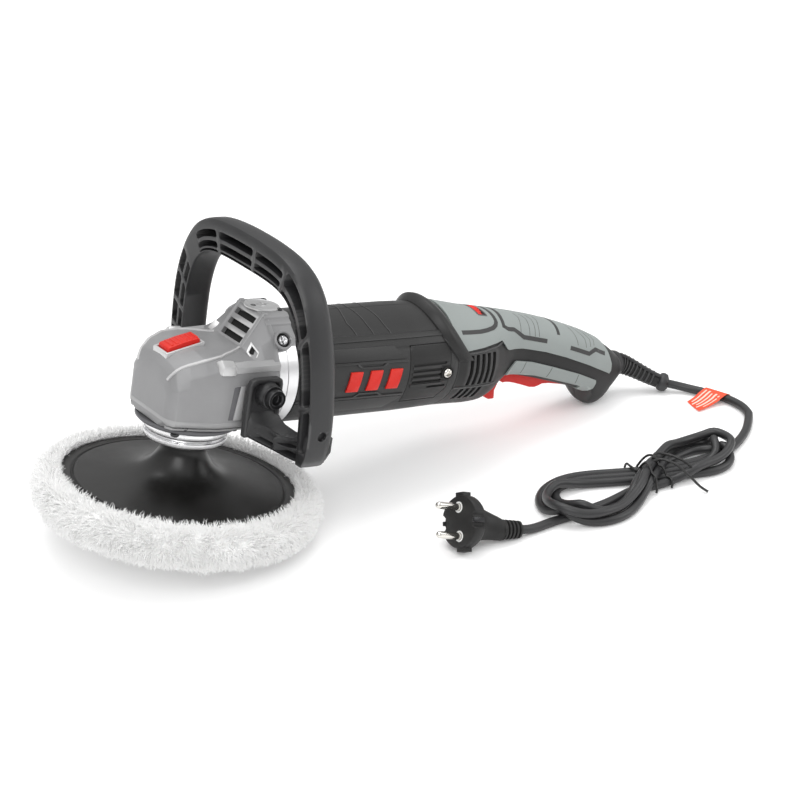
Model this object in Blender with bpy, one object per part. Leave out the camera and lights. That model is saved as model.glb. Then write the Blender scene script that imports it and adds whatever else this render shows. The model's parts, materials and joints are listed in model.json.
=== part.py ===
"""Rotary polisher: geared head, D-handle, motor, drooping rear handle, wool bonnet and tied mains cord.

Metres, +Z up. The tool's own frame has its origin on the spindle axis at the plane of the backing
plate's rim, X towards the rear, Y to the far side, Z along the spindle. Lengths below are in mm.
The tool lies tipped back, so that it rests on the rear lower edge of the pad and on its heel.
"""
import math

import bmesh
import bpy
from mathutils import Matrix, Vector

MM = 0.001
GAP = 0.3                 # clearance kept between neighbouring pieces

# Pad and plate
PLATE_R = 78.7            # backing plate rim
PLATE_THICK = 4.0
GROOVE_R = 67.9
NECK_R = 15.0
NECK_TOP = 32.5
FOAM_BOTTOM = -12.0
PAD_BOTTOM = -24.0        # working face of the wool
PAD_EDGE_R = 80.4         # rear edge that the tool rests on
WOOL_R = 94.5

# Head
COLLAR_R = 27.4
COLLAR_BOTTOM = 33.0
COLLAR_TOP = 44.8
FLANGE_R = 34.0
FLANGE_TOP = 48.2
HEAD_BOTTOM = 48.5
HEAD_REAR = 41.0
HEAD_WALL = 3.5

# Drive
MOTOR_Z = 76.2            # height of the motor axis over the rim plane
GEAR_TEETH = 36
PINION_TEETH = 10
GEAR_PITCH_R = 24.0
PINION_PITCH_R = GEAR_PITCH_R * PINION_TEETH / GEAR_TEETH
TOOTH_FACE = 7.0
LOCK_X = -14.0            # spindle-lock pin, which drops into a hole of the large gear
ADDENDUM = 0.55
DEDENDUM = 1.1
SHAFT_R = 4.2

# Motor housing
PLATE_FRONT = HEAD_REAR + GAP
PLATE_REAR = 56.7
MOTOR_FRONT = PLATE_REAR + GAP
MOTOR_REAR = 185.0
MOTOR_R = 37.3
MOTOR_WALL = 2.9

# D-handle
BOW_FRONT = 33.7          # front plane at BOW_REF height
BOW_REF = 80.0
BOW_LEAN = -0.092         # forward lean, mm per mm of height
BOW_DEPTH = 20.5
BOLT_X = 28.0

# Rear handle
SHELL_WALL = 2.6
HEEL_X = 343.5
HEEL_Z = 36.9
HEEL_R = 11.0
GRIP_SKIN = 1.3
TRIGGER_HALF_WIDTH = 8.6
TRIGGER_PIVOT = (322.0, 48.5)
LATCH_PIVOT = (247.6, 51.5)
DIAL_CENTRE = (226.0, 93.0)
DIAL_R = 14.5

# Cord
CORD_D = 6.2

# Rest pose, from the two places where the tool touches the floor
REACH = math.hypot(HEEL_X - PAD_EDGE_R, HEEL_Z - PAD_BOTTOM)
TILT = math.atan2(HEEL_Z - PAD_BOTTOM, HEEL_X - PAD_EDGE_R) - math.asin(HEEL_R / REACH)
RIM_HEIGHT = PAD_EDGE_R * math.sin(TILT) - PAD_BOTTOM * math.cos(TILT)
RIM_X = -156.69           # puts the origin under the middle of the object's box

ROUND = 36                # sides of a large round piece
SMALL_ROUND = 18


def clear_scene():
    for obj in list(bpy.data.objects):
        bpy.data.objects.remove(obj, do_unlink=True)


def tool_empty():
    empty = bpy.data.objects.new("tool_frame", None)
    empty.location = Vector((RIM_X, 0, RIM_HEIGHT)) * MM
    empty.rotation_euler = (0, TILT, 0)
    bpy.context.collection.objects.link(empty)
    return empty


def material(name, colour, roughness, metallic=0.0):
    found = bpy.data.materials.get(name)
    if found:
        return found
    made = bpy.data.materials.new(name)
    made.use_nodes = True
    shader = made.node_tree.nodes["Principled BSDF"]
    shader.inputs["Base Color"].default_value = (*colour, 1)
    shader.inputs["Roughness"].default_value = roughness
    shader.inputs["Metallic"].default_value = metallic
    made.diffuse_color = (*colour, 1)
    return made


COLOURS = {
    "wool": ((0.93, 0.93, 0.92), 0.95, 0.0),
    "foam": ((0.10, 0.10, 0.11), 0.9, 0.0),
    "black plastic": ((0.028, 0.028, 0.03), 0.5, 0.0),
    "dark plastic": ((0.055, 0.055, 0.06), 0.55, 0.0),
    "cast grey": ((0.34, 0.35, 0.36), 0.42, 0.6),
    "dark casting": ((0.13, 0.13, 0.14), 0.5, 0.5),
    "bare aluminium": ((0.78, 0.78, 0.79), 0.32, 1.0),
    "steel": ((0.55, 0.55, 0.56), 0.28, 1.0),
    "black steel": ((0.06, 0.06, 0.065), 0.35, 0.9),
    "copper": ((0.72, 0.33, 0.16), 0.35, 1.0),
    "carbon": ((0.03, 0.03, 0.03), 0.7, 0.1),
    "soft grip": ((0.42, 0.48, 0.47), 0.7, 0.0),
    "red plastic": ((0.80, 0.03, 0.02), 0.42, 0.0),
    "orange tag": ((0.85, 0.12, 0.03), 0.5, 0.0),
    "cord": ((0.03, 0.03, 0.032), 0.55, 0.0),
}


def add_object(name, bm, colour, origin=(0, 0, 0), parent=None, sharp=35):
    """Turns a mesh in mm into an object whose own origin is at origin."""
    bmesh.ops.remove_doubles(bm, verts=bm.verts, dist=1e-5)
    bmesh.ops.recalc_face_normals(bm, faces=bm.faces)
    bm.transform(Matrix.Scale(MM, 4) @ Matrix.Translation(-Vector(origin)))
    mesh = bpy.data.meshes.new(name)
    bm.to_mesh(mesh)
    bm.free()
    obj = bpy.data.objects.new(name, mesh)
    bpy.context.collection.objects.link(obj)
    obj.parent = parent
    obj.location = Vector(origin) * MM
    mesh.shade_smooth()
    mesh.set_sharp_from_angle(angle=math.radians(sharp))
    if colour:
        mesh.materials.append(material(colour, *COLOURS[colour]))
    return obj


def helper(obj):
    obj.hide_render = True
    obj.display_type = "WIRE"
    return obj


def boolean(obj, other, operation):
    modifier = obj.modifiers.new(operation.title(), "BOOLEAN")
    modifier.operation = operation
    modifier.object = helper(other)
    modifier.solver = "EXACT"


def cut(obj, *others):
    for other in others:
        boolean(obj, other, "DIFFERENCE")


def weld(obj, *others):
    for other in others:
        boolean(obj, other, "UNION")


def keep(obj, other):
    boolean(obj, other, "INTERSECT")


def rings_mesh(rings, capped=True, looped=False):
    """Faces between rings of points, each with the same count; a one-point ring is a pole."""
    bm = bmesh.new()
    made = [[bm.verts.new(point) for point in ring] for ring in rings]
    pairs = list(zip(made, made[1:]))
    if looped:
        pairs.append((made[-1], made[0]))
    for first, second in pairs:
        count = max(len(first), len(second))
        for i in range(count):
            j = (i + 1) % count
            corners = [first[i % len(first)], first[j % len(first)]]
            corners += [second[j % len(second)], second[i % len(second)]]
            kept = list(dict.fromkeys(corners))
            bm.faces.new(kept)
    if capped and not looped:
        for ring in (made[0], made[-1]):
            if len(ring) > 2:
                bm.faces.new(ring)
    return bm


def on_axis(axis, radial, angle, along, centre):
    c, s = radial * math.cos(angle), radial * math.sin(angle)
    place = {"X": (along, c, s), "Y": (c, along, s), "Z": (c, s, along)}[axis]
    return Vector(place) + Vector(centre)


def turned(profile, axis="Z", centre=(0, 0, 0), sides=ROUND, start=0.0):
    """A turned solid: profile points (radius, height); it is closed round unless it ends on the axis."""
    rings = []
    for radius, height in profile:
        if radius == 0:
            rings.append([on_axis(axis, 0, 0, height, centre)])
            continue
        angles = [start + 2 * math.pi * i / sides for i in range(sides)]
        rings.append([on_axis(axis, radius, angle, height, centre) for angle in angles])
    touches_axis = profile[0][0] == 0 and profile[-1][0] == 0
    return rings_mesh(rings, capped=False, looped=not touches_axis)


def tube(r_in, r_out, low, high):
    return [(r_out, low), (r_out, high), (r_in, high), (r_in, low)]


def rod(radius, low, high):
    return [(0, low), (radius, low), (radius, high), (0, high)]


def prism(outline, low, high, axis="Y"):
    """An outline of (x, z), (y, z) or (x, y) points, pulled along axis from low to high."""
    place = {
        "X": lambda a, b, t: (t, a, b),
        "Y": lambda a, b, t: (a, t, b),
        "Z": lambda a, b, t: (a, b, t),
    }[axis]
    return rings_mesh([[Vector(place(a, b, t)) for a, b in outline] for t in (low, high)])


def block(low, high):
    outline = [(low[0], low[1]), (high[0], low[1]), (high[0], high[1]), (low[0], high[1])]
    return prism(outline, low[2], high[2], "Z")


# ---------------------------------------------------------------- pad and plate

def make_pad(tool):
    under_plate = -PLATE_THICK - GAP
    bonnet = [
        (0, PAD_BOTTOM), (PAD_EDGE_R, PAD_BOTTOM), (88, -21.5), (92.5, -16), (WOOL_R, -9),
        (93, -2), (89, 3), (84, 5.2), (PLATE_R - 1.5, 4.6), (PLATE_R - 3.5, 3.0),
        (PLATE_R - 2.5, 1.0), (PLATE_R + GAP, GAP), (PLATE_R + GAP, under_plate),
        (76.8, under_plate - 0.5), (76.8, FOAM_BOTTOM - GAP), (0, FOAM_BOTTOM - GAP),
    ]
    add_object("wool_bonnet", turned(bonnet), "wool", parent=tool)
    foam = rod(76.4, FOAM_BOTTOM, under_plate)
    add_object("foam_disc", turned(foam, sides=SMALL_ROUND), "foam", parent=tool)


def dish_height(radius):
    """Top of the plate: nearly flat at the groove, then a trumpet up to the neck."""
    share = (GROOVE_R - radius) / (GROOVE_R - NECK_R)
    return 1.7 + 7.5 * share + 15.0 * share ** 7


def make_plate(tool):
    steps = 9
    radii = [GROOVE_R + (NECK_R - GROOVE_R) * (i / steps) ** 0.8 for i in range(steps + 1)]
    dish = [(radius, dish_height(radius)) for radius in radii]
    plate = [(0, -PLATE_THICK), (PLATE_R, -PLATE_THICK), (PLATE_R, 0)]
    plate += dish + [(NECK_R, NECK_TOP), (12.3, NECK_TOP), (12.3, 8.0), (0, 8.0)]
    add_object("backing_plate", turned(plate), "black plastic", parent=tool)
    insert = turned(tube(7.3, 12.0, 8.3, NECK_TOP), sides=SMALL_ROUND)
    add_object("plate_hub_insert", insert, "steel", parent=tool)


# ---------------------------------------------------------------- drive train

def bevel_rings(teeth, pitch_angle, outer, inner, first_tooth):
    """Tooth outlines at the outer and inner ends of a bevel gear whose cone apex is at the origin."""
    rings = []
    for cone in (inner, outer):
        scale = cone / outer
        ring = []
        for tooth in range(teeth):
            middle = first_tooth + 2 * math.pi * tooth / teeth
            for share, height in ((-0.24, -DEDENDUM), (-0.13, ADDENDUM), (0.13, ADDENDUM), (0.24, -DEDENDUM)):
                angle = middle + share * 2 * math.pi / teeth
                along = cone * math.cos(pitch_angle) - height * scale * math.sin(pitch_angle)
                radius = cone * math.sin(pitch_angle) + height * scale * math.cos(pitch_angle)
                ring.append((angle, radius, along))
        rings.append(ring)
    return rings


def bevel_gear(teeth, pitch_angle, bore, back_radius, back, axis_point, first_tooth=0.0):
    """A bevel gear with a plain back; axis_point maps (angle, radius, along) to a place."""
    outer = math.hypot(GEAR_PITCH_R, PINION_PITCH_R)
    inner_ring, outer_ring = bevel_rings(teeth, pitch_angle, outer, outer - TOOTH_FACE, first_tooth)
    front = min(along for _, _, along in inner_ring)
    rings = [
        [(angle, bore, front) for angle, _, _ in inner_ring],
        inner_ring,
        outer_ring,
        [(angle, back_radius, along) for angle, _, along in outer_ring],
        [(angle, back_radius, back) for angle, _, _ in outer_ring],
        [(angle, bore, back) for angle, _, _ in outer_ring],
    ]
    if back_radius > outer * math.sin(pitch_angle) - 2:
        rings.pop(3)
    places = [[axis_point(*point) for point in ring] for ring in rings]
    return rings_mesh(places, looped=True)


def make_gears(tool):
    pinion_angle = math.atan2(PINION_PITCH_R, GEAR_PITCH_R)
    apex = Vector((0, 0, MOTOR_Z))
    half_tooth = math.pi / GEAR_TEETH
    gear = bevel_gear(
        GEAR_TEETH, math.pi / 2 - pinion_angle, 8.3, 23.2, MOTOR_Z - 58.5,
        lambda angle, radius, along: apex + Vector((radius * math.cos(angle), radius * math.sin(angle), -along)),
        first_tooth=half_tooth,
    )
    wheel = add_object("large_bevel_gear", gear, "steel", parent=tool)
    for i in range(4):
        angle = math.pi / 2 * i
        centre = (LOCK_X * math.cos(angle), LOCK_X * math.sin(angle), 0)
        hole = turned(rod(2.6, 64, 75), "Z", centre, 10)
        cut(wheel, add_object(f"lock_hole_{i}", hole, None, parent=tool))
    pinion = bevel_gear(
        PINION_TEETH, pinion_angle, 2.9, 5.2, 33.5,
        lambda angle, radius, along: apex + Vector((along, radius * math.sin(angle), -radius * math.cos(angle))),
    )
    add_object("bevel_pinion", pinion, "steel", apex, tool)


def make_spindle(tool):
    spindle = [
        (0, 9.5), (7.0, 9.5), (7.0, 32.8), (11.5, 32.8), (11.5, 37), (8.5, 37), (8.5, 58.2),
        (8.0, 58.2), (8.0, 71), (6.0, 71), (6.0, 83.5), (0, 83.5),
    ]
    add_object("spindle", turned(spindle, sides=SMALL_ROUND), "steel", parent=tool)
    lower = turned(tube(8.8, 20.0, 45.3, 57.2), sides=SMALL_ROUND)
    add_object("spindle_bearing_lower", lower, "steel", parent=tool)
    upper = turned(tube(6.3, 9.4, 75.0, 84.0), sides=SMALL_ROUND)
    add_object("spindle_bearing_upper", upper, "steel", parent=tool)


def ring_about_motor(name, r_in, r_out, front, rear, colour, tool, sides=SMALL_ROUND):
    ring = turned(tube(r_in, r_out, front, rear), "X", (0, 0, MOTOR_Z), sides)
    return add_object(name, ring, colour, (0, 0, MOTOR_Z), tool)


def make_motor(tool):
    axis = (0, 0, MOTOR_Z)
    shaft = [(0, 12.0), (2.6, 12.0), (2.6, 34), (SHAFT_R, 34), (SHAFT_R, 192), (0, 192)]
    add_object("armature_shaft", turned(shaft, "X", axis, 12), "steel", axis, tool)
    core = [
        (SHAFT_R + 0.1, 78), (18, 78), (18, 88), (22.6, 88), (22.6, 134), (18, 134), (17, 144), (SHAFT_R + 0.1, 144),
    ]
    add_object("armature_core", turned(core, "X", axis, 24), "copper", axis, tool)
    ring_about_motor("commutator", SHAFT_R + 0.1, 12.0, 150, 166, "copper", tool)
    ring_about_motor("stator", 23.6, 34.0, 84, 138, "dark casting", tool, 24)
    ring_about_motor("front_bearing", 4.6, 13.0, 47, 56.4, "steel", tool)
    ring_about_motor("rear_bearing", 4.6, 11.0, 176.5, 184.5, "steel", tool)
    blades = 9
    outline = []
    for blade in range(blades):
        start = 2 * math.pi * blade / blades
        for share, radius in ((0.0, 30.5), (0.35, 29.5), (0.42, 17.0), (0.95, 17.0)):
            angle = start + share * 2 * math.pi / blades
            outline.append((radius * math.cos(angle), radius * math.sin(angle) + MOTOR_Z))
    fan = add_object("cooling_fan", prism(outline, 61, 70, "X"), "dark plastic", axis, tool)
    bore = add_object("fan_bore", turned(rod(SHAFT_R + 0.1, 50, 80), "X", axis, 12), None, parent=tool)
    cut(fan, bore)
    for name, side in (("near", -1), ("far", 1)):
        faces = sorted((side * 12.6, side * 29.0))
        brush = block((154, faces[0], MOTOR_Z - 4), (164, faces[1], MOTOR_Z + 4))
        add_object("carbon_brush_" + name, brush, "carbon", parent=tool)


# ---------------------------------------------------------------- gear head

# x, bottom half, wall half, wall top z, ledge half, ledge z, shoulder half, shoulder z, top z
HEAD_ROWS = [
    (-31.0, 14.0, 19.0, 70.0, 15.0, 74.0, 7.0, 76.0, 77.0),
    (-27.0, 20.0, 27.0, 75.0, 20.0, 83.0, 10.0, 89.0, 90.5),
    (-20.0, 26.0, 32.0, 76.0, 26.0, 88.0, 12.0, 95.0, 96.0),
    (-10.0, 30.0, 35.5, 76.5, 29.5, 90.0, 14.0, 98.0, 99.0),
    (0.0, 33.0, 37.3, 77.5, 31.5, 91.5, 16.0, 101.0, 102.0),
    (7.0, 33.5, 37.8, 78.0, 32.0, 93.0, 16.5, 104.5, 105.5),
    (19.0, 34.0, 38.0, 79.5, 33.0, 96.0, 17.0, 115.5, 116.5),
    (28.0, 34.0, 38.0, 80.5, 33.5, 98.0, 18.0, 117.5, 118.5),
    (HEAD_REAR, 34.0, 38.0, 82.0, 34.0, 99.0, 18.5, 117.5, 118.5),
]


def head_ring(row, inset, bottom):
    x, low, wall, wall_z, ledge, ledge_z, shoulder, shoulder_z, top = row
    half = [
        (low - inset, bottom), (wall - inset, bottom + 4.5), (wall - inset, wall_z - 0.4 * inset),
        (ledge - 0.9 * inset, ledge_z - 0.5 * inset), (shoulder - 0.4 * inset, shoulder_z - 0.9 * inset),
    ]
    far = [Vector((x, y, z)) for y, z in half]
    near = [Vector((x, -y, z)) for y, z in reversed(half)]
    return [Vector((x, 0, bottom))] + far + [Vector((x, 0, top - inset))] + near


def make_head(tool):
    outer = rings_mesh([head_ring(row, 0, HEAD_BOTTOM) for row in HEAD_ROWS])
    head = add_object("gear_head_housing", outer, "cast grey", parent=tool, sharp=20)
    rows = [(HEAD_ROWS[0][0] + HEAD_WALL + 1,) + HEAD_ROWS[1][1:]] + HEAD_ROWS[2:-1]
    rows.append((HEAD_REAR + 2,) + HEAD_ROWS[-1][1:])
    hollow = rings_mesh([head_ring(row, HEAD_WALL, HEAD_BOTTOM + HEAD_WALL) for row in rows])
    cut(head, add_object("head_hollow", hollow, None, parent=tool))
    mouth = turned(rod(24.9, HEAD_BOTTOM - 2, HEAD_BOTTOM + 9), sides=24, start=0.1)
    cut(head, add_object("head_mouth", mouth, None, parent=tool))
    boss = turned(rod(11.2, 74.5, 94.0), sides=SMALL_ROUND, start=0.1)
    weld(head, add_object("bearing_boss", boss, None, parent=tool))
    well = prism([(-25.4, 84.2), (3.3, 84.2), (3.3, 99.3), (-19, 93.7), (-25.4, 88.6)], -10.7, 10.7)
    weld(head, add_object("button_well", well, None, parent=tool))
    for name, side in (("near", -1), ("far", 1)):
        span = sorted((side * 31.0, side * 41.2))
        pad = turned(rod(9.0, *span), "Y", (BOLT_X, 0, MOTOR_Z), SMALL_ROUND)
        weld(head, add_object("bolt_pad_" + name, pad, None, parent=tool))
    bores = [
        turned(rod(9.7, 70.0, 84.3), sides=SMALL_ROUND, start=0.1),
        turned(rod(4.4, -50, -27), "Y", (BOLT_X, 0, MOTOR_Z), 12),
        turned(rod(4.4, 27, 50), "Y", (BOLT_X, 0, MOTOR_Z), 12),
        turned(rod(2.4, 80, 98), "Z", (LOCK_X, 0, 0), 12, 0.1),
        prism([(-24.8, 87.4), (-1.2, 93.2), (-1.2, 112), (-24.8, 112)], -8.8, 8.8),
    ]
    for i, bore in enumerate(bores):
        cut(head, add_object(f"head_bore_{i}", bore, None, parent=tool))
    make_head_fittings(tool)


def make_head_fittings(tool):
    collar = [
        (12.6, COLLAR_BOTTOM), (COLLAR_R - 1, COLLAR_BOTTOM), (COLLAR_R, COLLAR_BOTTOM + 1),
        (COLLAR_R, 37.4), (COLLAR_R - 1.4, 37.7), (COLLAR_R - 1.4, 38.4), (COLLAR_R - 0.2, 38.7),
        (COLLAR_R - 0.2, COLLAR_TOP), (12.6, COLLAR_TOP),
    ]
    add_object("spindle_collar", turned(collar), "bare aluminium", parent=tool)
    flange = [
        (20.3, COLLAR_TOP + GAP), (FLANGE_R, COLLAR_TOP + GAP), (FLANGE_R, FLANGE_TOP),
        (23.5, FLANGE_TOP), (23.5, 57.2), (20.3, 57.2),
    ]
    holder = add_object("bearing_flange", turned(flange, sides=28), "dark casting", parent=tool)
    for i in range(4):
        angle = math.radians(45 + 90 * i)
        centre = (30.9 * math.cos(angle), 30.9 * math.sin(angle), 0)
        hole = turned(rod(1.9, 40, 52), "Z", centre, 12)
        cut(holder, add_object(f"flange_hole_{i}", hole, None, parent=tool))
        screw = [(0, 42.6), (2.9, 42.6), (2.9, 44.8), (1.6, 44.8), (1.6, 48.2), (0, 48.2)]
        add_object(f"flange_screw_{i + 1}", turned(screw, "Z", centre, 12), "black steel", parent=tool)
    plate = [
        (13.3, PLATE_FRONT), (17, PLATE_FRONT), (17, 53), (34, 53), (34, PLATE_FRONT), (38, PLATE_FRONT),
        (38, PLATE_REAR), (13.3, PLATE_REAR),
    ]
    made = turned(plate, "X", (0, 0, MOTOR_Z), 28)
    add_object("gear_case_plate", made, "bare aluminium", parent=tool)
    cap = [(-24.4, 91.4), (-1.6, 97.0), (-1.6, 103.4), (-2.8, 104.0), (-23.4, 98.8), (-24.4, 97.8)]
    add_object("spindle_lock_button", prism(cap, -8.4, 8.4), "red plastic", (LOCK_X, 0, 98), tool)
    pin = turned(rod(2.1, 73.4, 93.2), "Z", (LOCK_X, 0, 0), 12)
    add_object("spindle_lock_pin", pin, "steel", (LOCK_X, 0, 84), tool)


# ---------------------------------------------------------------- D-handle

# half width, height on the front plane
BOW_OUTER = [
    (79, 38), (83.5, 46), (86.5, 60), (87.2, 75), (86.4, 91), (84.4, 108), (81.4, 121), (76.6, 135),
    (70.5, 147), (62, 156.5), (52, 162.5), (38, 166.8), (18, 168.8), (0, 169.2),
]
BOW_INNER = [
    (71.8, 38), (72.2, 60), (72, 75), (70.2, 94), (67, 112), (60.5, 128.5), (52, 138), (41, 143),
    (25, 145), (0, 145.4),
]


def bow_front(z):
    return BOW_FRONT + BOW_LEAN * (z - BOW_REF)


def make_bow(tool):
    outer = BOW_OUTER + [(-y, z) for y, z in reversed(BOW_OUTER[:-1])]
    inner = BOW_INNER + [(-y, z) for y, z in reversed(BOW_INNER[:-1])]
    outline = outer + list(reversed(inner))
    arch = prism(outline, 0, BOW_DEPTH, "X")
    for vert in arch.verts:
        vert.co.x += bow_front(vert.co.z)
    bow = add_object("d_handle", arch, "black plastic", parent=tool, sharp=30)
    bevel = bow.modifiers.new("Rounding", "BEVEL")
    bevel.width = 2.5 * MM
    bevel.segments = 2
    bevel.limit_method = "ANGLE"
    bevel.angle_limit = math.radians(45)
    for name, side in (("near", -1), ("far", 1)):
        leg = [(39.5, 40.2), (55.3, 40.2), (54.1, 60), (38.3, 60)]
        plate = [(14.6, 48.1), (38.4, 48.1), (38.4, 61), (14.6, 61)]
        foot = rings_mesh([
            [Vector((x, side * 76, z)) for x, z in leg], [Vector((x, side * 44.5, z)) for x, z in plate],
        ])
        weld(bow, add_object("foot_" + name, foot, None, parent=tool))
        outline = [(14, 47.5), (39, 47.5), (39, 80), (34, 86), (19, 86), (14, 81)]
        lug = prism(outline, *sorted((side * 41.5, side * 46.2)))
        weld(bow, add_object("lug_" + name, lug, None, parent=tool))
        boss = turned(rod(8.2, *sorted((side * 44, side * 52))), "Y", (BOLT_X, 0, MOTOR_Z), SMALL_ROUND)
        weld(bow, add_object("boss_" + name, boss, None, parent=tool))
        hole = turned(rod(4.4, *sorted((side * 38, side * 60))), "Y", (BOLT_X, 0, MOTOR_Z), 12)
        cut(bow, add_object("boss_hole_" + name, hole, None, parent=tool))
        bolt = [(4.0, 32), (4.0, 52.3), (6.3, 52.3), (6.3, 57.5), (2.6, 57.5), (2.6, 54.5), (0, 54.5)]
        profile = [(0, 32)] + bolt
        made = turned([(r, side * y) for r, y in profile], "Y", (BOLT_X, 0, MOTOR_Z), 12)
        add_object("d_handle_bolt_" + name, made, "black steel", parent=tool)


# ---------------------------------------------------------------- motor housing

COVER_ARC = (-20, 32)      # degrees up from the middle of the side
COVER_SPAN = (146.0, 181.0)


def wall_sector(r_in, r_out, low, high, span, side, steps=5):
    """A piece of the housing's round wall on one side, between two angles above the motor axis."""
    angles = [math.radians(low + (high - low) * i / steps) for i in range(steps + 1)]
    arc = [(r_out * math.cos(a), r_out * math.sin(a)) for a in angles]
    arc += [(r_in * math.cos(a), r_in * math.sin(a)) for a in reversed(angles)]
    return prism([(side * y, MOTOR_Z + z) for y, z in arc], *span, "X")


def make_motor_housing(tool):
    inner = MOTOR_R - MOTOR_WALL
    shell = [
        (MOTOR_R, MOTOR_FRONT), (MOTOR_R, 150), (36.4, MOTOR_REAR), (11.4, MOTOR_REAR), (11.4, 180),
        (inner - 0.9, 180), (inner, 150), (inner, MOTOR_FRONT),
    ]
    housing = add_object("motor_housing", turned(shell, "X", (0, 0, MOTOR_Z), 36), "dark plastic", parent=tool)
    for name, side in (("near", -1), ("far", 1)):
        low, high = COVER_ARC
        wide = (COVER_SPAN[0] - GAP, COVER_SPAN[1] + GAP)
        recess = wall_sector(35.6, 39.0, low - 0.5, high + 0.5, wide, side)
        cut(housing, add_object("cover_recess_" + name, recess, None, parent=tool))
        cover = wall_sector(35.9, 37.2, low, high, COVER_SPAN, side)
        panel = add_object("brush_cover_" + name, cover, "black plastic", parent=tool)
        screw_at = (176.5, 0, MOTOR_Z)
        hole = turned(rod(1.7, *sorted((side * 33, side * 40))), "Y", screw_at, 12)
        cut(panel, add_object("cover_hole_" + name, hole, None, parent=tool))
        screw = [(0, 35.8), (1.4, 35.8), (1.4, 37.6), (3.3, 37.6), (3.3, 39.4), (0, 39.4)]
        made = turned([(r, side * y) for r, y in screw], "Y", screw_at, 12)
        add_object("brush_cover_screw_" + name, made, "steel", parent=tool)
    make_visor(tool)


def make_visor(tool):
    """A raised lip that crosses the top of the housing and sweeps back as it comes down the sides."""
    rings = []
    steps = 16
    for i in range(steps + 1):
        share = 2 * i / steps - 1
        angle = math.radians(78 * share)
        sweep = 17 * share * share
        rise = 4.0 - 2.8 * share * share
        front = 169 + sweep
        section = [
            (front, MOTOR_R + 0.4), (front + 9, MOTOR_R + 0.4), (front + 9, MOTOR_R + 0.6 + rise),
            (front + 4, MOTOR_R + 0.6 + rise),
        ]
        rings.append([Vector((x, r * math.sin(angle), MOTOR_Z + r * math.cos(angle))) for x, r in section])
    add_object("visor_lip", rings_mesh(rings), "black plastic", parent=tool)


# ---------------------------------------------------------------- rear handle

# x, top, bottom, half width, squareness above, squareness below
SHELL_ROWS = [
    (MOTOR_REAR + GAP, 112.5, 39.9, 36.3, 2.0, 2.0),
    (200, 109.5, 39.6, 35.2, 2.0, 2.0),
    (214, 106.8, 39.4, 33.6, 2.0, 2.1),
    (225, 105.0, 40.6, 31.4, 2.1, 2.3),
    (233, 103.7, 45.0, 28.0, 2.2, 2.6),
    (241, 102.5, 52.5, 23.6, 2.3, 3.2),
    (249, 101.3, 58.8, 20.8, 2.4, 3.8),
    (262, 99.0, 57.5, 19.4, 2.4, 4.2),
    (280, 95.3, 53.5, 19.0, 2.4, 4.2),
    (300, 90.2, 48.5, 19.0, 2.4, 4.2),
    (316, 85.4, 44.0, 18.8, 2.4, 4.0),
    (327, 81.8, 41.0, 18.4, 2.4, 3.4),
    (333, 79.5, 37.0, 18.0, 2.4, 2.8),
    (336, 78.3, 32.0, 17.8, 2.4, 2.5),
    (339, 77.0, 30.0, 17.4, 2.4, 2.4),
    (342, 75.7, 30.0, 17.0, 2.4, 2.3),
    (345.5, 74.0, 30.0, 16.6, 2.4, 2.3),
    (349, 72.2, 30.0, 15.9, 2.4, 2.3),
    (352, 70.4, 32.0, 15.2, 2.4, 2.3),
    (356, 67.8, 35.5, 14.0, 2.3, 2.3),
    (361, 64.6, 40.5, 12.2, 2.2, 2.2),
    (366, 61.0, 46.0, 9.6, 2.2, 2.2),
]
SHELL_SIDES = 24
REAR_END = SHELL_ROWS[-1][0]
GRIP_OUTLINE = [
    (186.6, 130), (186.6, 100), (190, 88.3), (212, 89), (232, 91), (238, 83.5), (256, 82), (279, 76.9),
    (299, 71.4), (323, 63.4), (346.5, 54.3), (348.5, 61), (345.5, 70), (337.5, 82), (332, 130),
]
INSERT_OUTLINE = [
    (244, 62.9), (252.3, 72.5), (269, 69.9), (292, 63.8), (315, 57.2), (333.5, 50.4), (333, 45),
    (327, 41.4), (319.6, 43.3), (320.4, 46.5), (311, 49.3), (294, 53.8), (273.6, 59.0), (256, 61.4),
]


def heel_bottom(x, bottom):
    """The underside dips to a round heel."""
    reach = HEEL_R ** 2 - (x - HEEL_X) ** 2
    return min(bottom, HEEL_Z - math.sqrt(reach)) if reach > 0 else bottom


def shell_ring(row, outset):
    x, top, bottom, half, above, below = row
    bottom = heel_bottom(x, bottom)
    middle = (top + bottom) / 2
    ring = []
    for i in range(SHELL_SIDES):
        angle = 2 * math.pi * i / SHELL_SIDES - math.pi / 2
        c, s = math.cos(angle), math.sin(angle)
        power = 2 / (above if s > 0 else below)
        y = math.copysign(abs(c) ** power, c) * (half + outset)
        z = math.copysign(abs(s) ** power, s) * ((top - bottom) / 2 + outset)
        ring.append(Vector((x, y, middle + z)))
    return ring


def shell_loft(outset, rows=SHELL_ROWS):
    return rings_mesh([shell_ring(row, outset) for row in rows])


def half_space(name, side, tool):
    faces = sorted((side * 0.15, side * 80))
    return add_object(name, block((150, faces[0], 0), (400, faces[1], 150)), None, parent=tool)


def joined(parts):
    """Several separate closed pieces as one mesh."""
    bm = bmesh.new()
    for part in parts:
        mesh = bpy.data.meshes.new("piece")
        part.to_mesh(mesh)
        part.free()
        bm.from_mesh(mesh)
        bpy.data.meshes.remove(mesh)
    return bm


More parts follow.
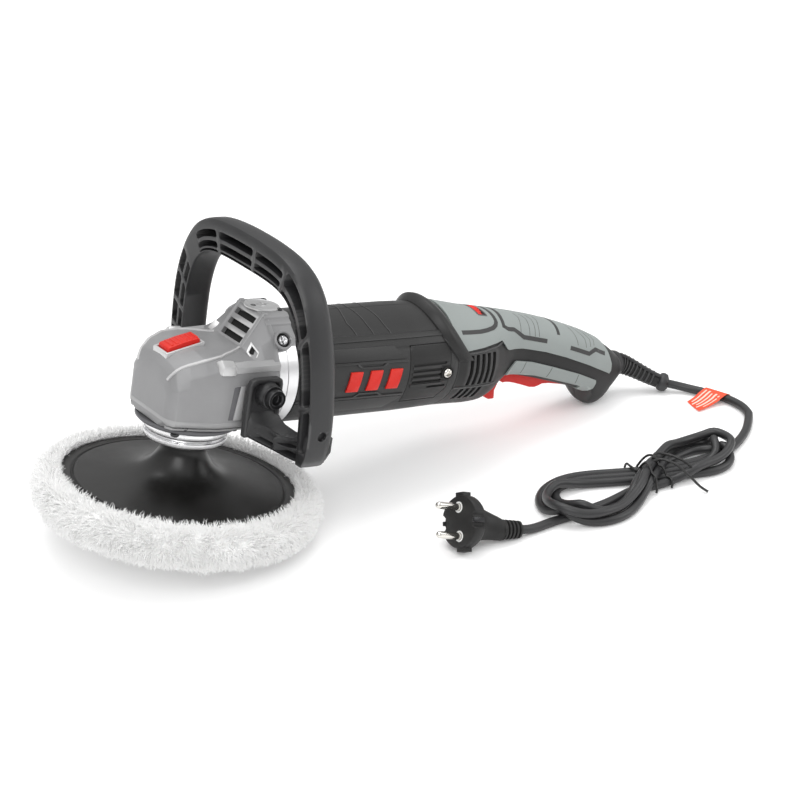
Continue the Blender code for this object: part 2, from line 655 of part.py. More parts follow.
def make_rear_handle(tool):
    inner_rows = [(184.0,) + SHELL_ROWS[0][1:]] + SHELL_ROWS[1:-2]
    dial_window = block((219.2, -11.0, 98), (225.8, 11.0, 120))
    hollow = add_object("shell_hollow", shell_loft(-SHELL_WALL, inner_rows), None, parent=tool)
    window = add_object("dial_window", dial_window, None, parent=tool)
    for name, side in (("near", -1), ("far", 1)):
        openings = [
            block((229.5, -9.2, 20), (329, 9.2, 75)),
            block((219.2, -15.0, 88), (225.8, 15.0, 120)),
            turned(rod(4.2, 340, 380), "X", (0, 0, 54.5), 12),
        ]
        openings += vent_slots(side)
        shell = add_object("rear_handle_" + name, shell_loft(0), "black plastic", parent=tool)
        keep(shell, half_space("half_" + name, side, tool))
        cut(shell, hollow, add_object("openings_" + name, joined(openings), None, parent=tool))
        make_skins(name, side, window, tool)


def vent_slots(side):
    slots = []
    for i in range(4):
        front = 201.5 + 5.6 * i
        outline = [(front, 63), (front + 3, 63), (front + 1.6, 84), (front - 1.4, 84)]
        slots.append(prism(outline, *sorted((side * 22, side * 45))))
    return slots


def make_skins(name, side, window, tool):
    """Soft grips moulded over each shell: the pale upper one and the strip over the trigger."""
    faces = sorted((side * 0.15, side * 60))
    for part, outline in (("upper_grip_", GRIP_OUTLINE), ("lower_grip_", INSERT_OUTLINE)):
        skin = add_object(part + name, prism(outline, *faces), "soft grip", parent=tool)
        if part == "lower_grip_":
            side_only = block((230, min(side * 9.6, side * 60), 30), (345, max(side * 9.6, side * 60), 90))
            keep(skin, add_object("strip_limit_" + name, side_only, None, parent=tool))
        outside = add_object(part + "outside_" + name, shell_loft(GAP + GRIP_SKIN), None, parent=tool)
        inside = add_object(part + "inside_" + name, shell_loft(GAP), None, parent=tool)
        keep(skin, outside)
        cut(skin, inside)
        if part == "upper_grip_":
            cut(skin, window)


def make_controls(tool):
    px, pz = TRIGGER_PIVOT
    outline = [
        (247.5, 58.6), (252, 62.5), (275, 60), (300, 55.5), (px, 52.3), (px + 4, 50.3), (px + 4, 46.5),
        (318, 44.4), (305, 46.2), (292, 47.3), (285, 45.2), (280.5, 45.6), (266, 49.9), (257, 51.4),
        (254.5, 51.0), (252.6, 55.0), (247.5, 57.0),
    ]
    trigger = prism(outline, -TRIGGER_HALF_WIDTH, TRIGGER_HALF_WIDTH)
    lever = add_object("trigger", trigger, "red plastic", (px, 0, pz), tool)
    hole = turned(rod(1.8, -12, 12), "Y", (px, 0, pz), 12)
    cut(lever, add_object("trigger_bore", hole, None, parent=tool))
    add_object("trigger_pin", turned(rod(1.5, -8.9, 8.9), "Y", (px, 0, pz), 12), "steel", parent=tool)
    lx, lz = LATCH_PIVOT
    outline = [
        (lx - 2.2, lz + 2.6), (lx + 1.8, lz + 3.2), (lx + 3.0, lz - 1), (lx + 1.6, lz - 4.6), (lx + 2.0, 39.6),
        (lx - 3.4, 39.2), (235.0, 44.0), (238.2, 49.0), (242.4, 52.5),
    ]
    latch = prism(outline, -TRIGGER_HALF_WIDTH + 0.6, TRIGGER_HALF_WIDTH - 0.6)
    add_object("lock_off_lever", latch, "red plastic", (lx, 0, lz), tool)
    add_object("switch_body", block((262, -9, 69), (300, 9, 83)), "black plastic", parent=tool)
    cx, cz = DIAL_CENTRE
    dial = [(2.2, cx - 6.4), (DIAL_R, cx - 6.4), (DIAL_R, cx - 0.6), (2.2, cx - 0.6)]
    wheel = turned(dial, "X", (0, 0, cz), 32)
    add_object("speed_dial", wheel, "red plastic", (cx - 3.5, 0, cz), tool)
    axle = turned(rod(1.9, cx - 12, cx + 6), "X", (0, 0, cz), 12)
    add_object("dial_axle", axle, "steel", parent=tool)
    add_object("speed_module", block((206, -13, 62), (236, 13, 74)), "dark casting", parent=tool)


# ---------------------------------------------------------------- cord

def floor_point(x, y, z):
    """A place given from the point under the plate's middle."""
    return Vector((x + RIM_X, y, z))


# Route from the strain relief to the hank, and from the hank to the plug
LEAD_ROUTE = [
    (404.2, -22.6, 6.6), (409.5, -27.2, 5.2), (414.5, -33, 4.0), (419.2, -40.5, 3.4), (423.5, -50, 3.3),
    (426.6, -60, 3.3), (427.8, -70.5, 3.3), (426.6, -81, 3.3), (421.5, -92, 3.3), (413.5, -102, 3.3),
    (404, -110, 3.3), (395, -115.0, 3.3), (389.7, -117.0, 3.3),
]
PLUG_ROUTE = [
    (199.2, -135.6, 3.3), (193, -134.6, 3.4), (187, -132.2, 3.8), (181.5, -128.6, 4.4), (176.2, -125.2, 5.2),
    (171.0, -122.8, 6.2),
]
HANK_OUTLINE = [
    (200, -124), (202, -106), (214, -92), (232, -84), (254, -87), (278, -100), (300, -104), (325, -97),
    (350, -93), (377, -97), (389.2, -108), (386, -121), (373, -131), (354, -149), (336, -152), (311, -145),
    (291, -147), (271, -157), (249, -164), (229, -163), (211, -153), (202, -140),
]
HANK_HEIGHT = 20.0
RELIEF_START = (REAR_END + GAP, 0.0, 54.3)
PLUG_FACE = (137.0, -122.0, 20.0)
PLUG_TILT = math.radians(21.9)
PLUG_ROLL = math.radians(29.2)


def smooth_route(route, spacing):
    """Even points along a Catmull-Rom curve through the route."""
    points = [floor_point(*place) for place in route]
    ends = [2 * points[0] - points[1]] + points + [2 * points[-1] - points[-2]]
    dense = [points[0]]
    for a, b, c, d in zip(ends, ends[1:], ends[2:], ends[3:]):
        for i in range(1, 13):
            t = i / 12
            step = b * 2 + (c - a) * t + (a * 2 - b * 5 + c * 4 - d) * t * t
            dense.append((step + (b * 3 - c * 3 + d - a) * t ** 3) / 2)
    lengths = [0.0]
    for a, b in zip(dense, dense[1:]):
        lengths.append(lengths[-1] + (b - a).length)
    count = max(2, round(lengths[-1] / spacing)) + 1
    made, at = [], 0
    for i in range(count):
        target = lengths[-1] * i / (count - 1)
        while at < len(dense) - 2 and lengths[at + 1] < target:
            at += 1
        share = (target - lengths[at]) / (lengths[at + 1] - lengths[at])
        made.append(dense[at].lerp(dense[at + 1], share))
    return made


def cord_tube(name, route):
    curve = bpy.data.curves.new(name, "CURVE")
    curve.dimensions = "3D"
    curve.bevel_depth = CORD_D / 2 * MM
    curve.bevel_resolution = 1
    curve.use_fill_caps = True
    points = smooth_route(route, 2.4 * CORD_D)
    spline = curve.splines.new("POLY")
    spline.points.add(len(points) - 1)
    for point, place in zip(spline.points, points):
        point.co = (*(place * MM), 1)
    curve.materials.append(material("cord", *COLOURS["cord"]))
    obj = bpy.data.objects.new(name, curve)
    bpy.context.collection.objects.link(obj)


def plug_axes():
    pins = Vector((-math.cos(PLUG_TILT), 0, math.sin(PLUG_TILT)))
    upright = Vector((math.sin(PLUG_TILT), 0, math.cos(PLUG_TILT)))
    across = upright * math.cos(PLUG_ROLL) + Vector((0, 1, 0)) * math.sin(PLUG_ROLL)
    return pins, across


def along_path(path, radii, sides):
    """A round solid along a path; each ring is square to the path."""
    rings = []
    for i, place in enumerate(path):
        before, after = path[max(i - 1, 0)], path[min(i + 1, len(path) - 1)]
        forward = (after - before).normalized()
        side = forward.cross(Vector((0, 0, 1))).normalized()
        up = side.cross(forward)
        angles = [2 * math.pi * k / sides for k in range(sides)]
        rings.append([place + (side * math.cos(a) + up * math.sin(a)) * radii[i] for a in angles])
    return rings_mesh(rings)


def bezier(points, share):
    while len(points) > 1:
        points = [a.lerp(b, share) for a, b in zip(points, points[1:])]
    return points[0]


def make_cord(tool):
    bpy.context.view_layer.update()
    start = tool.matrix_world @ (Vector(RELIEF_START) * MM) / MM
    heading = (tool.matrix_world.to_3x3() @ Vector((1, 0, 0))).normalized()
    lead = floor_point(*LEAD_ROUTE[0])
    leaving = (floor_point(*LEAD_ROUTE[1]) - lead).normalized()
    end = lead - leaving * GAP
    root = start + heading * 2
    control = [root, root + heading * 10, end - leaving * 16, end]
    shares = [0, 0.12, 0.27, 0.42, 0.57, 0.72, 0.83, 0.86, 0.93, 1.0]
    radii = [8.0, 8.0, 7.6, 7.1, 6.6, 6.1, 5.6, 5.2, 6.0, 6.2, 5.8]
    relief = along_path([start] + [bezier(control, share) for share in shares], radii, 16)
    add_object("strain_relief", relief, "black plastic")
    cord_tube("mains_cord", LEAD_ROUTE)
    cord_tube("plug_lead", PLUG_ROUTE)
    outline = [(x + RIM_X, y) for x, y in HANK_OUTLINE]
    add_object("cord_hank", prism(outline, 0.2, HANK_HEIGHT, "Z"), "cord")
    make_plug()


def make_plug():
    face = floor_point(*PLUG_FACE)
    pins, across = plug_axes()
    lead_end = floor_point(*PLUG_ROUTE[-1])
    towards = (lead_end - floor_point(*PLUG_ROUTE[-2])).normalized()
    tail = lead_end + towards * GAP
    back = face - pins * 13
    neck = tail + towards * 6
    path = [face, face - pins * 2, back, back - pins * 3, (back - pins * 3).lerp(neck, 0.6), neck, tail]
    radii = [16.5, 18.0, 18.0, 15.0, 8.5, 7.0, 5.2]
    add_object("plug_body", along_path(path, radii, 24), "black plastic")
    for name, side in (("upper", 1), ("lower", -1)):
        base = face + across * 9.5 * side + pins * GAP
        path = [base, base + pins * 17.6, base + pins * 19]
        add_object("plug_pin_" + name, along_path(path, [2.4, 2.4, 1.5], 12), "steel")


def make_tie():
    """The flat tie that holds the hank together at its waist."""
    x = 296 + RIM_X
    outline = [(-149.5, 0.2), (-149.5, 21.8), (-100.3, 21.8), (-100.3, 0.2)]
    outline += [(-101.8, 0.2), (-101.8, 20.3), (-148, 20.3), (-148, 0.2)]
    add_object("cord_tie", prism(outline, x, x + 8, "X"), "black plastic")


def make_tag():
    """A folded paper tag hanging on the cord and lying on the floor beside it."""
    low = 0.4
    outline = [(401, -66), (415, -77), (423.2, -57.5), (420.6, -50.5), (414, -48)]
    points = [(x + RIM_X, y) for x, y in outline]
    add_object("cord_tag", prism(points, low, low + 0.6, "Z"), "orange tag")


def main():
    clear_scene()
    tool = tool_empty()
    make_pad(tool)
    make_plate(tool)
    make_spindle(tool)
    make_gears(tool)
    make_motor(tool)
    make_head(tool)
    make_bow(tool)
    make_motor_housing(tool)
    make_rear_handle(tool)
    make_controls(tool)
    make_cord(tool)
    make_tie()
    make_tag()


main()
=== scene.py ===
"""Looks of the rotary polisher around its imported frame: pieces, materials, cord, floor, lights and camera."""
import json
import math
import random

import bmesh
import bpy
import numpy as np
from mathutils import Matrix, Vector, noise
from mathutils.bvhtree import BVHTree


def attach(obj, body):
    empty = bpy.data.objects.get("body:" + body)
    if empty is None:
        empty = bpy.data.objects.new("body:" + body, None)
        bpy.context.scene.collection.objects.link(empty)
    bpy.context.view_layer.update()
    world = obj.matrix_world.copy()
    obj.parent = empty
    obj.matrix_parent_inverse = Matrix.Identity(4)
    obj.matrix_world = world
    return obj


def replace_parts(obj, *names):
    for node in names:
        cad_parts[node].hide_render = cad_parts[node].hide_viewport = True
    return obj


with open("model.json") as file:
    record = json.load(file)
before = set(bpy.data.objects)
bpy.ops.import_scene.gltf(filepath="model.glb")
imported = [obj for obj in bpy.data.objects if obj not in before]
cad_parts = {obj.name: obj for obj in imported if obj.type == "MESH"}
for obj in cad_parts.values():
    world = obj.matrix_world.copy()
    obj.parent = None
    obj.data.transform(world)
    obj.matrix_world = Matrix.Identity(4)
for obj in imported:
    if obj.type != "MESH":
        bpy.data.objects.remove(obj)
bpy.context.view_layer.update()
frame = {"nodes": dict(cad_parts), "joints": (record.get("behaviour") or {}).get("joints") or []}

# ---------------------------------------------------------------- the two frames
JOINTS = {joint["name"]: joint for joint in frame["joints"]}
RIM = Vector(JOINTS["spindle_spin"]["pos_m"])          # spindle axis at the plate's rim plane
UP = Vector(JOINTS["spindle_spin"]["axis"]).normalized()
REAR = Vector(JOINTS["armature_spin"]["axis"]).normalized()
SIDE = UP.cross(REAR)
TILT = math.atan2(UP.x, UP.z)
MM = 0.001
TOOL = Matrix.Translation(RIM) @ Matrix((REAR, SIDE, UP)).transposed().to_4x4() @ Matrix.Scale(MM, 4)
FLOOR = Matrix.Translation((RIM.x, 0, 0)) @ Matrix.Scale(MM, 4)
MOTOR_Z = 76.2                                         # the motor's axis above the rim plane
MOTOR_AXIS = (0, 0, MOTOR_Z)
SIDES = ((-1, "near"), (1, "far"))
rng = random.Random(11)

# ---------------------------------------------------------------- materials
M = {}


def tree_of(name):
    """A new material whose textures lie in the tool's own frame."""
    made = bpy.data.materials.new(name)
    made.use_nodes = True
    nodes, links = made.node_tree.nodes, made.node_tree.links
    shader = nodes["Principled BSDF"]
    coords = nodes.new("ShaderNodeTexCoord")
    turned_coords = nodes.new("ShaderNodeMapping")
    turned_coords.vector_type = "TEXTURE"
    turned_coords.inputs["Location"].default_value = RIM
    turned_coords.inputs["Rotation"].default_value = (0, TILT, 0)
    links.new(coords.outputs["Object"], turned_coords.inputs["Vector"])
    return made, nodes, links, shader, turned_coords.outputs["Vector"]


def put(node, **values):
    """Sets a node's inputs; an underscore stands for the space in an input's name."""
    for name, value in values.items():
        node.inputs[name.replace("_", " ")].default_value = value


def noise_node(nodes, links, vector, scale, detail):
    node = nodes.new("ShaderNodeTexNoise")
    put(node, Scale=scale, Detail=detail, Roughness=0.55)
    links.new(vector, node.inputs["Vector"])
    return node.outputs["Fac"]


def ramp(nodes, links, fac, low, high, start, end):
    node = nodes.new("ShaderNodeMapRange")
    put(node, From_Min=low, From_Max=high, To_Min=start, To_Max=end)
    links.new(fac, node.inputs["Value"])
    return node.outputs["Result"]


def mix(nodes, links, fac, first, second):
    """Mixes two colours, each given as a tuple or a socket."""
    node = nodes.new("ShaderNodeMix")
    node.data_type = "RGBA"
    for socket, value in ((node.inputs[6], first), (node.inputs[7], second)):
        if isinstance(value, tuple):
            socket.default_value = (*value, 1)
        else:
            links.new(value, socket)
    links.new(fac, node.inputs[0])
    return node.outputs[2]


def bump(nodes, links, height, distance, strength=1.0, under=None):
    """A bump of a height, over another normal if one is given."""
    node = nodes.new("ShaderNodeBump")
    put(node, Distance=distance, Strength=strength)
    links.new(height, node.inputs["Height"])
    if under:
        links.new(under, node.inputs["Normal"])
    return node.outputs["Normal"]


def scaled(colour, factor):
    return tuple(min(1.0, c * factor) for c in colour)


def surface(name, colour, rough, metal=0.0, tint=0.10, blotch=30, grain=1500, depth=0.00006,
            strength=0.5, wear=0.0, wear_colour=None, rings=None, specular=0.5):
    """Moulded, cast or turned surface: blotchy colour, fine grain, uneven gloss and lighter worn edges."""
    made, nodes, links, shader, vector = tree_of(name)
    broad = noise_node(nodes, links, vector, blotch, 4)
    fine = noise_node(nodes, links, vector, grain, 2)
    tone = mix(
        nodes, links, ramp(nodes, links, broad, 0.3, 0.7, 0, 1), scaled(colour, 1 - tint),
        scaled(colour, 1 + tint)
    )
    if wear:
        geometry = nodes.new("ShaderNodeNewGeometry")
        edge = ramp(nodes, links, geometry.outputs["Pointiness"], 0.52, 0.62, 0, wear)
        tone = mix(nodes, links, edge, tone, wear_colour or scaled(colour, 2.2))
    links.new(tone, shader.inputs["Base Color"])
    links.new(ramp(nodes, links, broad, 0.3, 0.7, rough - 0.05, rough + 0.05), shader.inputs["Roughness"])
    put(shader, Metallic=metal, Specular_IOR_Level=specular)
    normal = bump(nodes, links, fine, depth, strength)
    if rings:
        axis, pitch, ring_depth = rings
        wave = nodes.new("ShaderNodeTexWave")
        wave.bands_direction = axis
        put(wave, Scale=0.314 / pitch, Distortion=0.4, Detail=2)
        links.new(vector, wave.inputs["Vector"])
        normal = bump(nodes, links, wave.outputs["Fac"], ring_depth, 0.5, normal)
    links.new(normal, shader.inputs["Normal"])
    M[name] = made


def wool_material():
    """Soft white pile with a painted glow: a faint emission that lifts its shaded parts towards white."""
    made, nodes, links, shader, vector = tree_of("lambswool")
    broad = noise_node(nodes, links, vector, 90, 4)
    fine = noise_node(nodes, links, vector, 900, 3)
    tone = mix(
        nodes, links, ramp(nodes, links, broad, 0.3, 0.7, 0, 1), (0.93, 0.928, 0.922), (0.975, 0.975, 0.972)
    )
    links.new(tone, shader.inputs["Base Color"])
    # The emission is painted light: the wool glows a little, though it is no lamp.
    put(shader, Roughness=0.95, Sheen_Weight=0.35, Sheen_Roughness=0.6, Specular_IOR_Level=0.2,
        Subsurface_Weight=0.25, Subsurface_Radius=(0.004, 0.004, 0.004), Subsurface_Scale=1.0,
        Emission_Color=(1, 1, 1, 1), Emission_Strength=0.06)
    links.new(bump(nodes, links, fine, 0.0004, 0.4), shader.inputs["Normal"])
    return made


def foam_material():
    made, nodes, links, shader, vector = tree_of("foam")
    cells = nodes.new("ShaderNodeTexVoronoi")
    put(cells, Scale=900)
    links.new(vector, cells.inputs["Vector"])
    tone = mix(
        nodes, links, ramp(nodes, links, cells.outputs["Distance"], 0, 0.6, 0, 1), (0.03, 0.03, 0.033),
        (0.13, 0.13, 0.14)
    )
    links.new(tone, shader.inputs["Base Color"])
    put(shader, Roughness=0.95)
    links.new(bump(nodes, links, cells.outputs["Distance"], 0.0005, 0.8), shader.inputs["Normal"])
    return made


def winding_material():
    """Bands of enamelled copper wire."""
    made, nodes, links, shader, vector = tree_of("windings")
    wave = nodes.new("ShaderNodeTexWave")
    wave.bands_direction = "X"
    put(wave, Scale=300)
    links.new(vector, wave.inputs["Vector"])
    links.new(
        mix(nodes, links, wave.outputs["Fac"], (0.35, 0.12, 0.05), (0.78, 0.36, 0.17)),
        shader.inputs["Base Color"]
    )
    put(shader, Metallic=0.9)
    links.new(ramp(nodes, links, wave.outputs["Fac"], 0, 1, 0.45, 0.28), shader.inputs["Roughness"])
    links.new(bump(nodes, links, wave.outputs["Fac"], 0.0003, 0.8), shader.inputs["Normal"])
    return made


def tag_material():
    """Reddish paper with a fibrous surface."""
    made, nodes, links, shader, vector = tree_of("paper tag")
    fibre = noise_node(nodes, links, vector, 700, 4)
    tone = mix(
        nodes, links, ramp(nodes, links, fibre, 0.3, 0.7, 0, 1), (0.72, 0.055, 0.015), (0.86, 0.085, 0.022)
    )
    links.new(tone, shader.inputs["Base Color"])
    put(shader, Roughness=0.5)
    links.new(bump(nodes, links, fibre, 0.00004, 0.5), shader.inputs["Normal"])
    return made


M.update(wool=wool_material(), foam=foam_material(), copper=winding_material(), tag=tag_material())
surface(
    "handle black", (0.017, 0.017, 0.018), 0.46, tint=0.18, grain=2600, depth=0.00005, wear=0.5,
    wear_colour=(0.11, 0.11, 0.11)
)
surface(
    "shell black", (0.014, 0.0138, 0.0138), 0.5, specular=0.36, tint=0.15, grain=2200, depth=0.00007,
    strength=0.7, wear=0.35, wear_colour=(0.10, 0.10, 0.10)
)
surface(
    "charcoal", (0.016, 0.0158, 0.0158), 0.42, specular=0.36, tint=0.12, grain=2400, depth=0.00005, wear=0.5,
    wear_colour=(0.13, 0.13, 0.13)
)
surface(
    "plate black", (0.009, 0.0087, 0.0083), 0.33, specular=0.42, tint=0.2, blotch=45, grain=1200, depth=0.00004,
    wear=0.3, wear_colour=(0.07, 0.07, 0.07)
)
# Near-black for seams, grooves and parting lines, and for the sheets, rings and cups that paint the shade
# inside vents, screw recesses and the rear handle's vent opening.
surface("seam and painted shade black", (0.004, 0.004, 0.004), 0.75, tint=0.2, grain=1500)
surface(
    "cast grey", (0.262, 0.262, 0.266), 0.44, metal=0.18, tint=0.05, blotch=60, grain=2600, depth=0.00005,
    strength=0.6, wear=0.6, wear_colour=(0.72, 0.72, 0.72)
)
surface(
    "cast bright", (0.52, 0.52, 0.52), 0.34, metal=0.45, tint=0.05, blotch=50, grain=2400, depth=0.00005,
    wear=0.5, wear_colour=(0.9, 0.9, 0.9)
)
surface("dark casting", (0.10, 0.10, 0.105), 0.45, metal=0.5, grain=1800, depth=0.00008, wear=0.5)
surface(
    "aluminium", (0.86, 0.86, 0.87), 0.22, metal=1.0, tint=0.03, grain=1500, depth=0.00001,
    rings=("Z", 0.00045, 0.00003)
)
surface(
    "aluminium band", (0.80, 0.80, 0.81), 0.34, metal=0.9, tint=0.03, grain=2000, depth=0.00003,
    rings=("X", 0.0006, 0.00002)
)
surface("steel", (0.55, 0.55, 0.56), 0.26, metal=1.0, tint=0.06, grain=1800, depth=0.00002)
surface("nickel", (0.72, 0.70, 0.66), 0.14, metal=1.0, tint=0.04, grain=1500, depth=0.000006)
surface(
    "black steel", (0.045, 0.045, 0.047), 0.34, metal=0.8, tint=0.12, grain=1800, depth=0.00003, wear=0.4,
    wear_colour=(0.3, 0.3, 0.3)
)
surface("carbon", (0.03, 0.03, 0.03), 0.6, metal=0.1, grain=1400, depth=0.00006)
surface(
    "soft grip", (0.262, 0.287, 0.279), 0.60, tint=0.035, blotch=40, grain=3000, depth=0.00006, strength=0.6,
    wear=0.25, wear_colour=(0.55, 0.60, 0.58)
)
surface(
    "red", (0.60, 0.010, 0.006), 0.36, specular=0.36, tint=0.07, grain=2200, depth=0.00003, wear=0.3,
    wear_colour=(0.95, 0.12, 0.06)
)
surface("tag print", (0.9, 0.62, 0.52), 0.5, tint=0.05, grain=900)
surface("cord", (0.022, 0.022, 0.023), 0.40, tint=0.12, blotch=60, grain=1600, depth=0.00004)
surface("tie", (0.012, 0.012, 0.012), 0.35, tint=0.2, grain=1500)
surface("plug", (0.012, 0.0117, 0.0115), 0.50, specular=0.36, tint=0.15, grain=900, depth=0.00012, strength=0.7)
surface("white ring", (0.75, 0.75, 0.74), 0.4, tint=0.04, grain=1500)

# ---------------------------------------------------------------- mesh helpers


def rings_mesh(rings, capped=True, looped=False):
    """Skins a row of rings of points; a ring may also be a single point."""
    bm = bmesh.new()
    made = [[bm.verts.new(point) for point in ring] for ring in rings]
    pairs = list(zip(made, made[1:]))
    if looped:
        pairs.append((made[-1], made[0]))
    for first, second in pairs:
        count = max(len(first), len(second))
        for i in range(count):
            j = (i + 1) % count
            corners = [first[i % len(first)], first[j % len(first)]]
            corners += [second[j % len(second)], second[i % len(second)]]
            bm.faces.new(list(dict.fromkeys(corners)))
    if capped and not looped:
        for ring in (made[0], made[-1]):
            if len(ring) > 2:
                bm.faces.new(ring)
    return bm


def on_axis(axis, radial, angle, along, centre):
    """A point at an angle about an axis, some way along it."""
    c, s = radial * math.cos(angle), radial * math.sin(angle)
    place = {"X": (along, c, s), "Y": (c, along, s), "Z": (c, s, along)}[axis]
    return Vector(place) + Vector(centre)


def turned(profile, axis="Z", centre=(0, 0, 0), sides=96, start=0.0):
    """A shape of revolution from (radius, height) points; it closes on itself unless it ends on the axis."""
    rings = []
    for radius, height in profile:
        if radius == 0:
            rings.append([on_axis(axis, 0, 0, height, centre)])
            continue
        angles = [start + 2 * math.pi * i / sides for i in range(sides)]
        rings.append([on_axis(axis, radius, angle, height, centre) for angle in angles])
    touches_axis = profile[0][0] == 0 and profile[-1][0] == 0
    return rings_mesh(rings, capped=False, looped=not touches_axis)


def rounded(profile, radius=0.4, steps=2, closed=True):
    """Rounds the corners of a profile of (radius, height) points."""
    made = []
    count = len(profile)
    for i, point in enumerate(profile):
        here = Vector(point)
        if (not closed and i in (0, count - 1)) or point[0] == 0:
            made.append(tuple(point))
            continue
        before, after = Vector(profile[i - 1]), Vector(profile[(i + 1) % count])
        reach = min(radius, (before - here).length * 0.4, (after - here).length * 0.4)
        a = here + (before - here).normalized() * reach
        b = here + (after - here).normalized() * reach
        for k in range(steps + 1):
            t = k / steps
            made.append(tuple(a.lerp(here, t).lerp(here.lerp(b, t), t)))
    return made


def rod(radius, low, high):
    return [(0, low), (radius, low), (radius, high), (0, high)]


def turned_out(profile, side, centre, sides):
    """A shape turned about a crosswise axis; the profile's heights run outward on that side."""
    return turned([(radius, side * out) for radius, out in profile], "Y", centre, sides)


def prism(outline, low, high, axis="Y"):
    """An outline pushed along an axis from low to high."""
    place = {
        "X": lambda a, b, t: (t, a, b),
        "Y": lambda a, b, t: (a, t, b),
        "Z": lambda a, b, t: (a, b, t),
    }[axis]
    return rings_mesh([[Vector(place(a, b, t)) for a, b in outline] for t in (low, high)])


def block(low, high):
    outline = [(low[0], low[1]), (high[0], low[1]), (high[0], high[1]), (low[0], high[1])]
    return prism(outline, low[2], high[2], "Z")


def ribbon(points, width):
    """The outline of a band of that width along a polyline of 2-D points."""
    points = [Vector(p) for p in points]
    left, right = [], []
    for i, here in enumerate(points):
        before, after = points[max(i - 1, 0)], points[min(i + 1, len(points) - 1)]
        along = (after - before).normalized()
        if 0 < i < len(points) - 1:
            one, two = (here - before).normalized(), (after - here).normalized()
            along = (one + two).normalized()
            spread = width / 2 / max(0.5, along.dot(one))
        else:
            spread = width / 2
        out = Vector((-along.y, along.x)) * spread
        left.append(here + out)
        right.append(here - out)
    return [tuple(p) for p in left + right[::-1]]


def joined(parts):
    bm = bmesh.new()
    for part in parts:
        mesh = bpy.data.meshes.new("piece")
        bmesh.ops.recalc_face_normals(part, faces=part.faces)
        part.to_mesh(mesh)
        part.free()
        bm.from_mesh(mesh)
        bpy.data.meshes.remove(mesh)
    return bm


def spline(points, count):
    """Even points along a Catmull-Rom curve through points of any size."""
    points = [np.array(p, float) for p in points]
    ends = [2 * points[0] - points[1]] + points + [2 * points[-1] - points[-2]]
    dense = [points[0]]
    for a, b, c, d in zip(ends, ends[1:], ends[2:], ends[3:]):
        for i in range(1, 17):
            t = i / 16
            dense.append(
                0.5 * (
                    2 * b + (c - a) * t + (2 * a - 5 * b + 4 * c - d) * t * t + (3 * b - 3 * c + d - a) * t ** 3
                )
            )
    dense = np.array(dense)
    lengths = np.concatenate([[0], np.cumsum(np.linalg.norm(np.diff(dense, axis=0), axis=1))])
    at = np.linspace(0, lengths[-1], count)
    return [tuple(np.interp(x, lengths, dense[:, k]) for k in range(dense.shape[1])) for x in at]


def placed(name, data):
    obj = bpy.data.objects.new(name, data)
    bpy.context.scene.collection.objects.link(obj)
    return obj


def shade(mesh, smooth):
    mesh.shade_smooth()
    if smooth < 180:
        mesh.set_sharp_from_angle(angle=math.radians(smooth))


def tool_object(name, bm, frame_matrix=TOOL, smooth=30):
    """An object from a mesh drawn in millimetres in the tool's frame or another."""
    bmesh.ops.remove_doubles(bm, verts=bm.verts, dist=1e-5)
    bmesh.ops.recalc_face_normals(bm, faces=bm.faces)
    bm.transform(frame_matrix)
    mesh = bpy.data.meshes.new(name)
    bm.to_mesh(mesh)
    bm.free()
    shade(mesh, smooth)
    return placed(name, mesh)


def bake(obj, smooth=30):
    """Applies the piece's modifiers."""
    bpy.context.view_layer.update()
    graph = bpy.context.evaluated_depsgraph_get()
    mesh = bpy.data.meshes.new_from_object(obj.evaluated_get(graph))
    obj.modifiers.clear()
    obj.data = mesh
    shade(mesh, smooth)
    return obj


def cut(obj, others, operation="DIFFERENCE", smooth=30):
    """Cuts a piece with other objects, which are used up."""
    for other in others:
        modifier = obj.modifiers.new("Cut", "BOOLEAN")
        modifier.operation = operation
        modifier.object = other
        modifier.solver = "EXACT"
    bake(obj, smooth)
    for other in others:
        bpy.data.objects.remove(other, do_unlink=True)
    return obj


def boolean(obj, cutter, operation="DIFFERENCE", frame_matrix=TOOL):
    """Cuts a piece with a mesh, or keeps what they share."""
    return cut(obj, [tool_object("cutter", cutter, frame_matrix)], operation)


def soften(obj, width, segments=2, angle=32, smooth=40):
    modifier = obj.modifiers.new("Edges", "BEVEL")
    modifier.width = width * MM
    modifier.segments = segments
    modifier.limit_method = "ANGLE"
    modifier.angle_limit = math.radians(angle)
    modifier.use_clamp_overlap = True
    return bake(obj, smooth)


def finish_piece(obj, material, stands_for="", body="tool"):
    """Gives a piece its material, ties it to a body of the frame, and hides the node it stands for."""
    obj.data.materials.clear()
    obj.data.materials.append(M[material])
    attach(obj, body)
    if stands_for:
        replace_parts(obj, stands_for)
    return obj


def piece(name, bm, material, stands_for="", body="tool", place=TOOL, smooth=30, cuts=(), soft=()):
    """One finished piece: its mesh, then its cuts, then its softened edges."""
    obj = tool_object(name, bm, place, smooth)
    for cutter in cuts:
        boolean(obj, cutter, "DIFFERENCE", place)
    if soft:
        soften(obj, *soft)
    return finish_piece(obj, material, stands_for, body)


def mirrored(obj, name):
    """The same piece on the other side of the tool's middle plane."""
    mesh = obj.data.copy()
    mesh.name = name
    flip = TOOL @ Matrix.Scale(-1, 4, (0, 1, 0)) @ TOOL.inverted()
    mesh.transform(flip)
    mesh.flip_normals()
    return placed(name, mesh)


def pair(near, name, material, stands_for="", soft=0.0):
    """Finishes a piece on the near side and adds its mirror image on the far side."""
    if isinstance(near, bmesh.types.BMesh):
        near = tool_object(name, near)
    if soft:
        soften(near, soft)
    near.name = name + "_near"
    for obj, label in ((near, "_near"), (mirrored(near, name + "_far"), "_far")):
        finish_piece(obj, material, stands_for + label if stands_for else "")


def paint(material, *nodes):
    for node in nodes:
        mesh = frame["nodes"][node].data
        mesh.materials.clear()
        mesh.materials.append(M[material])


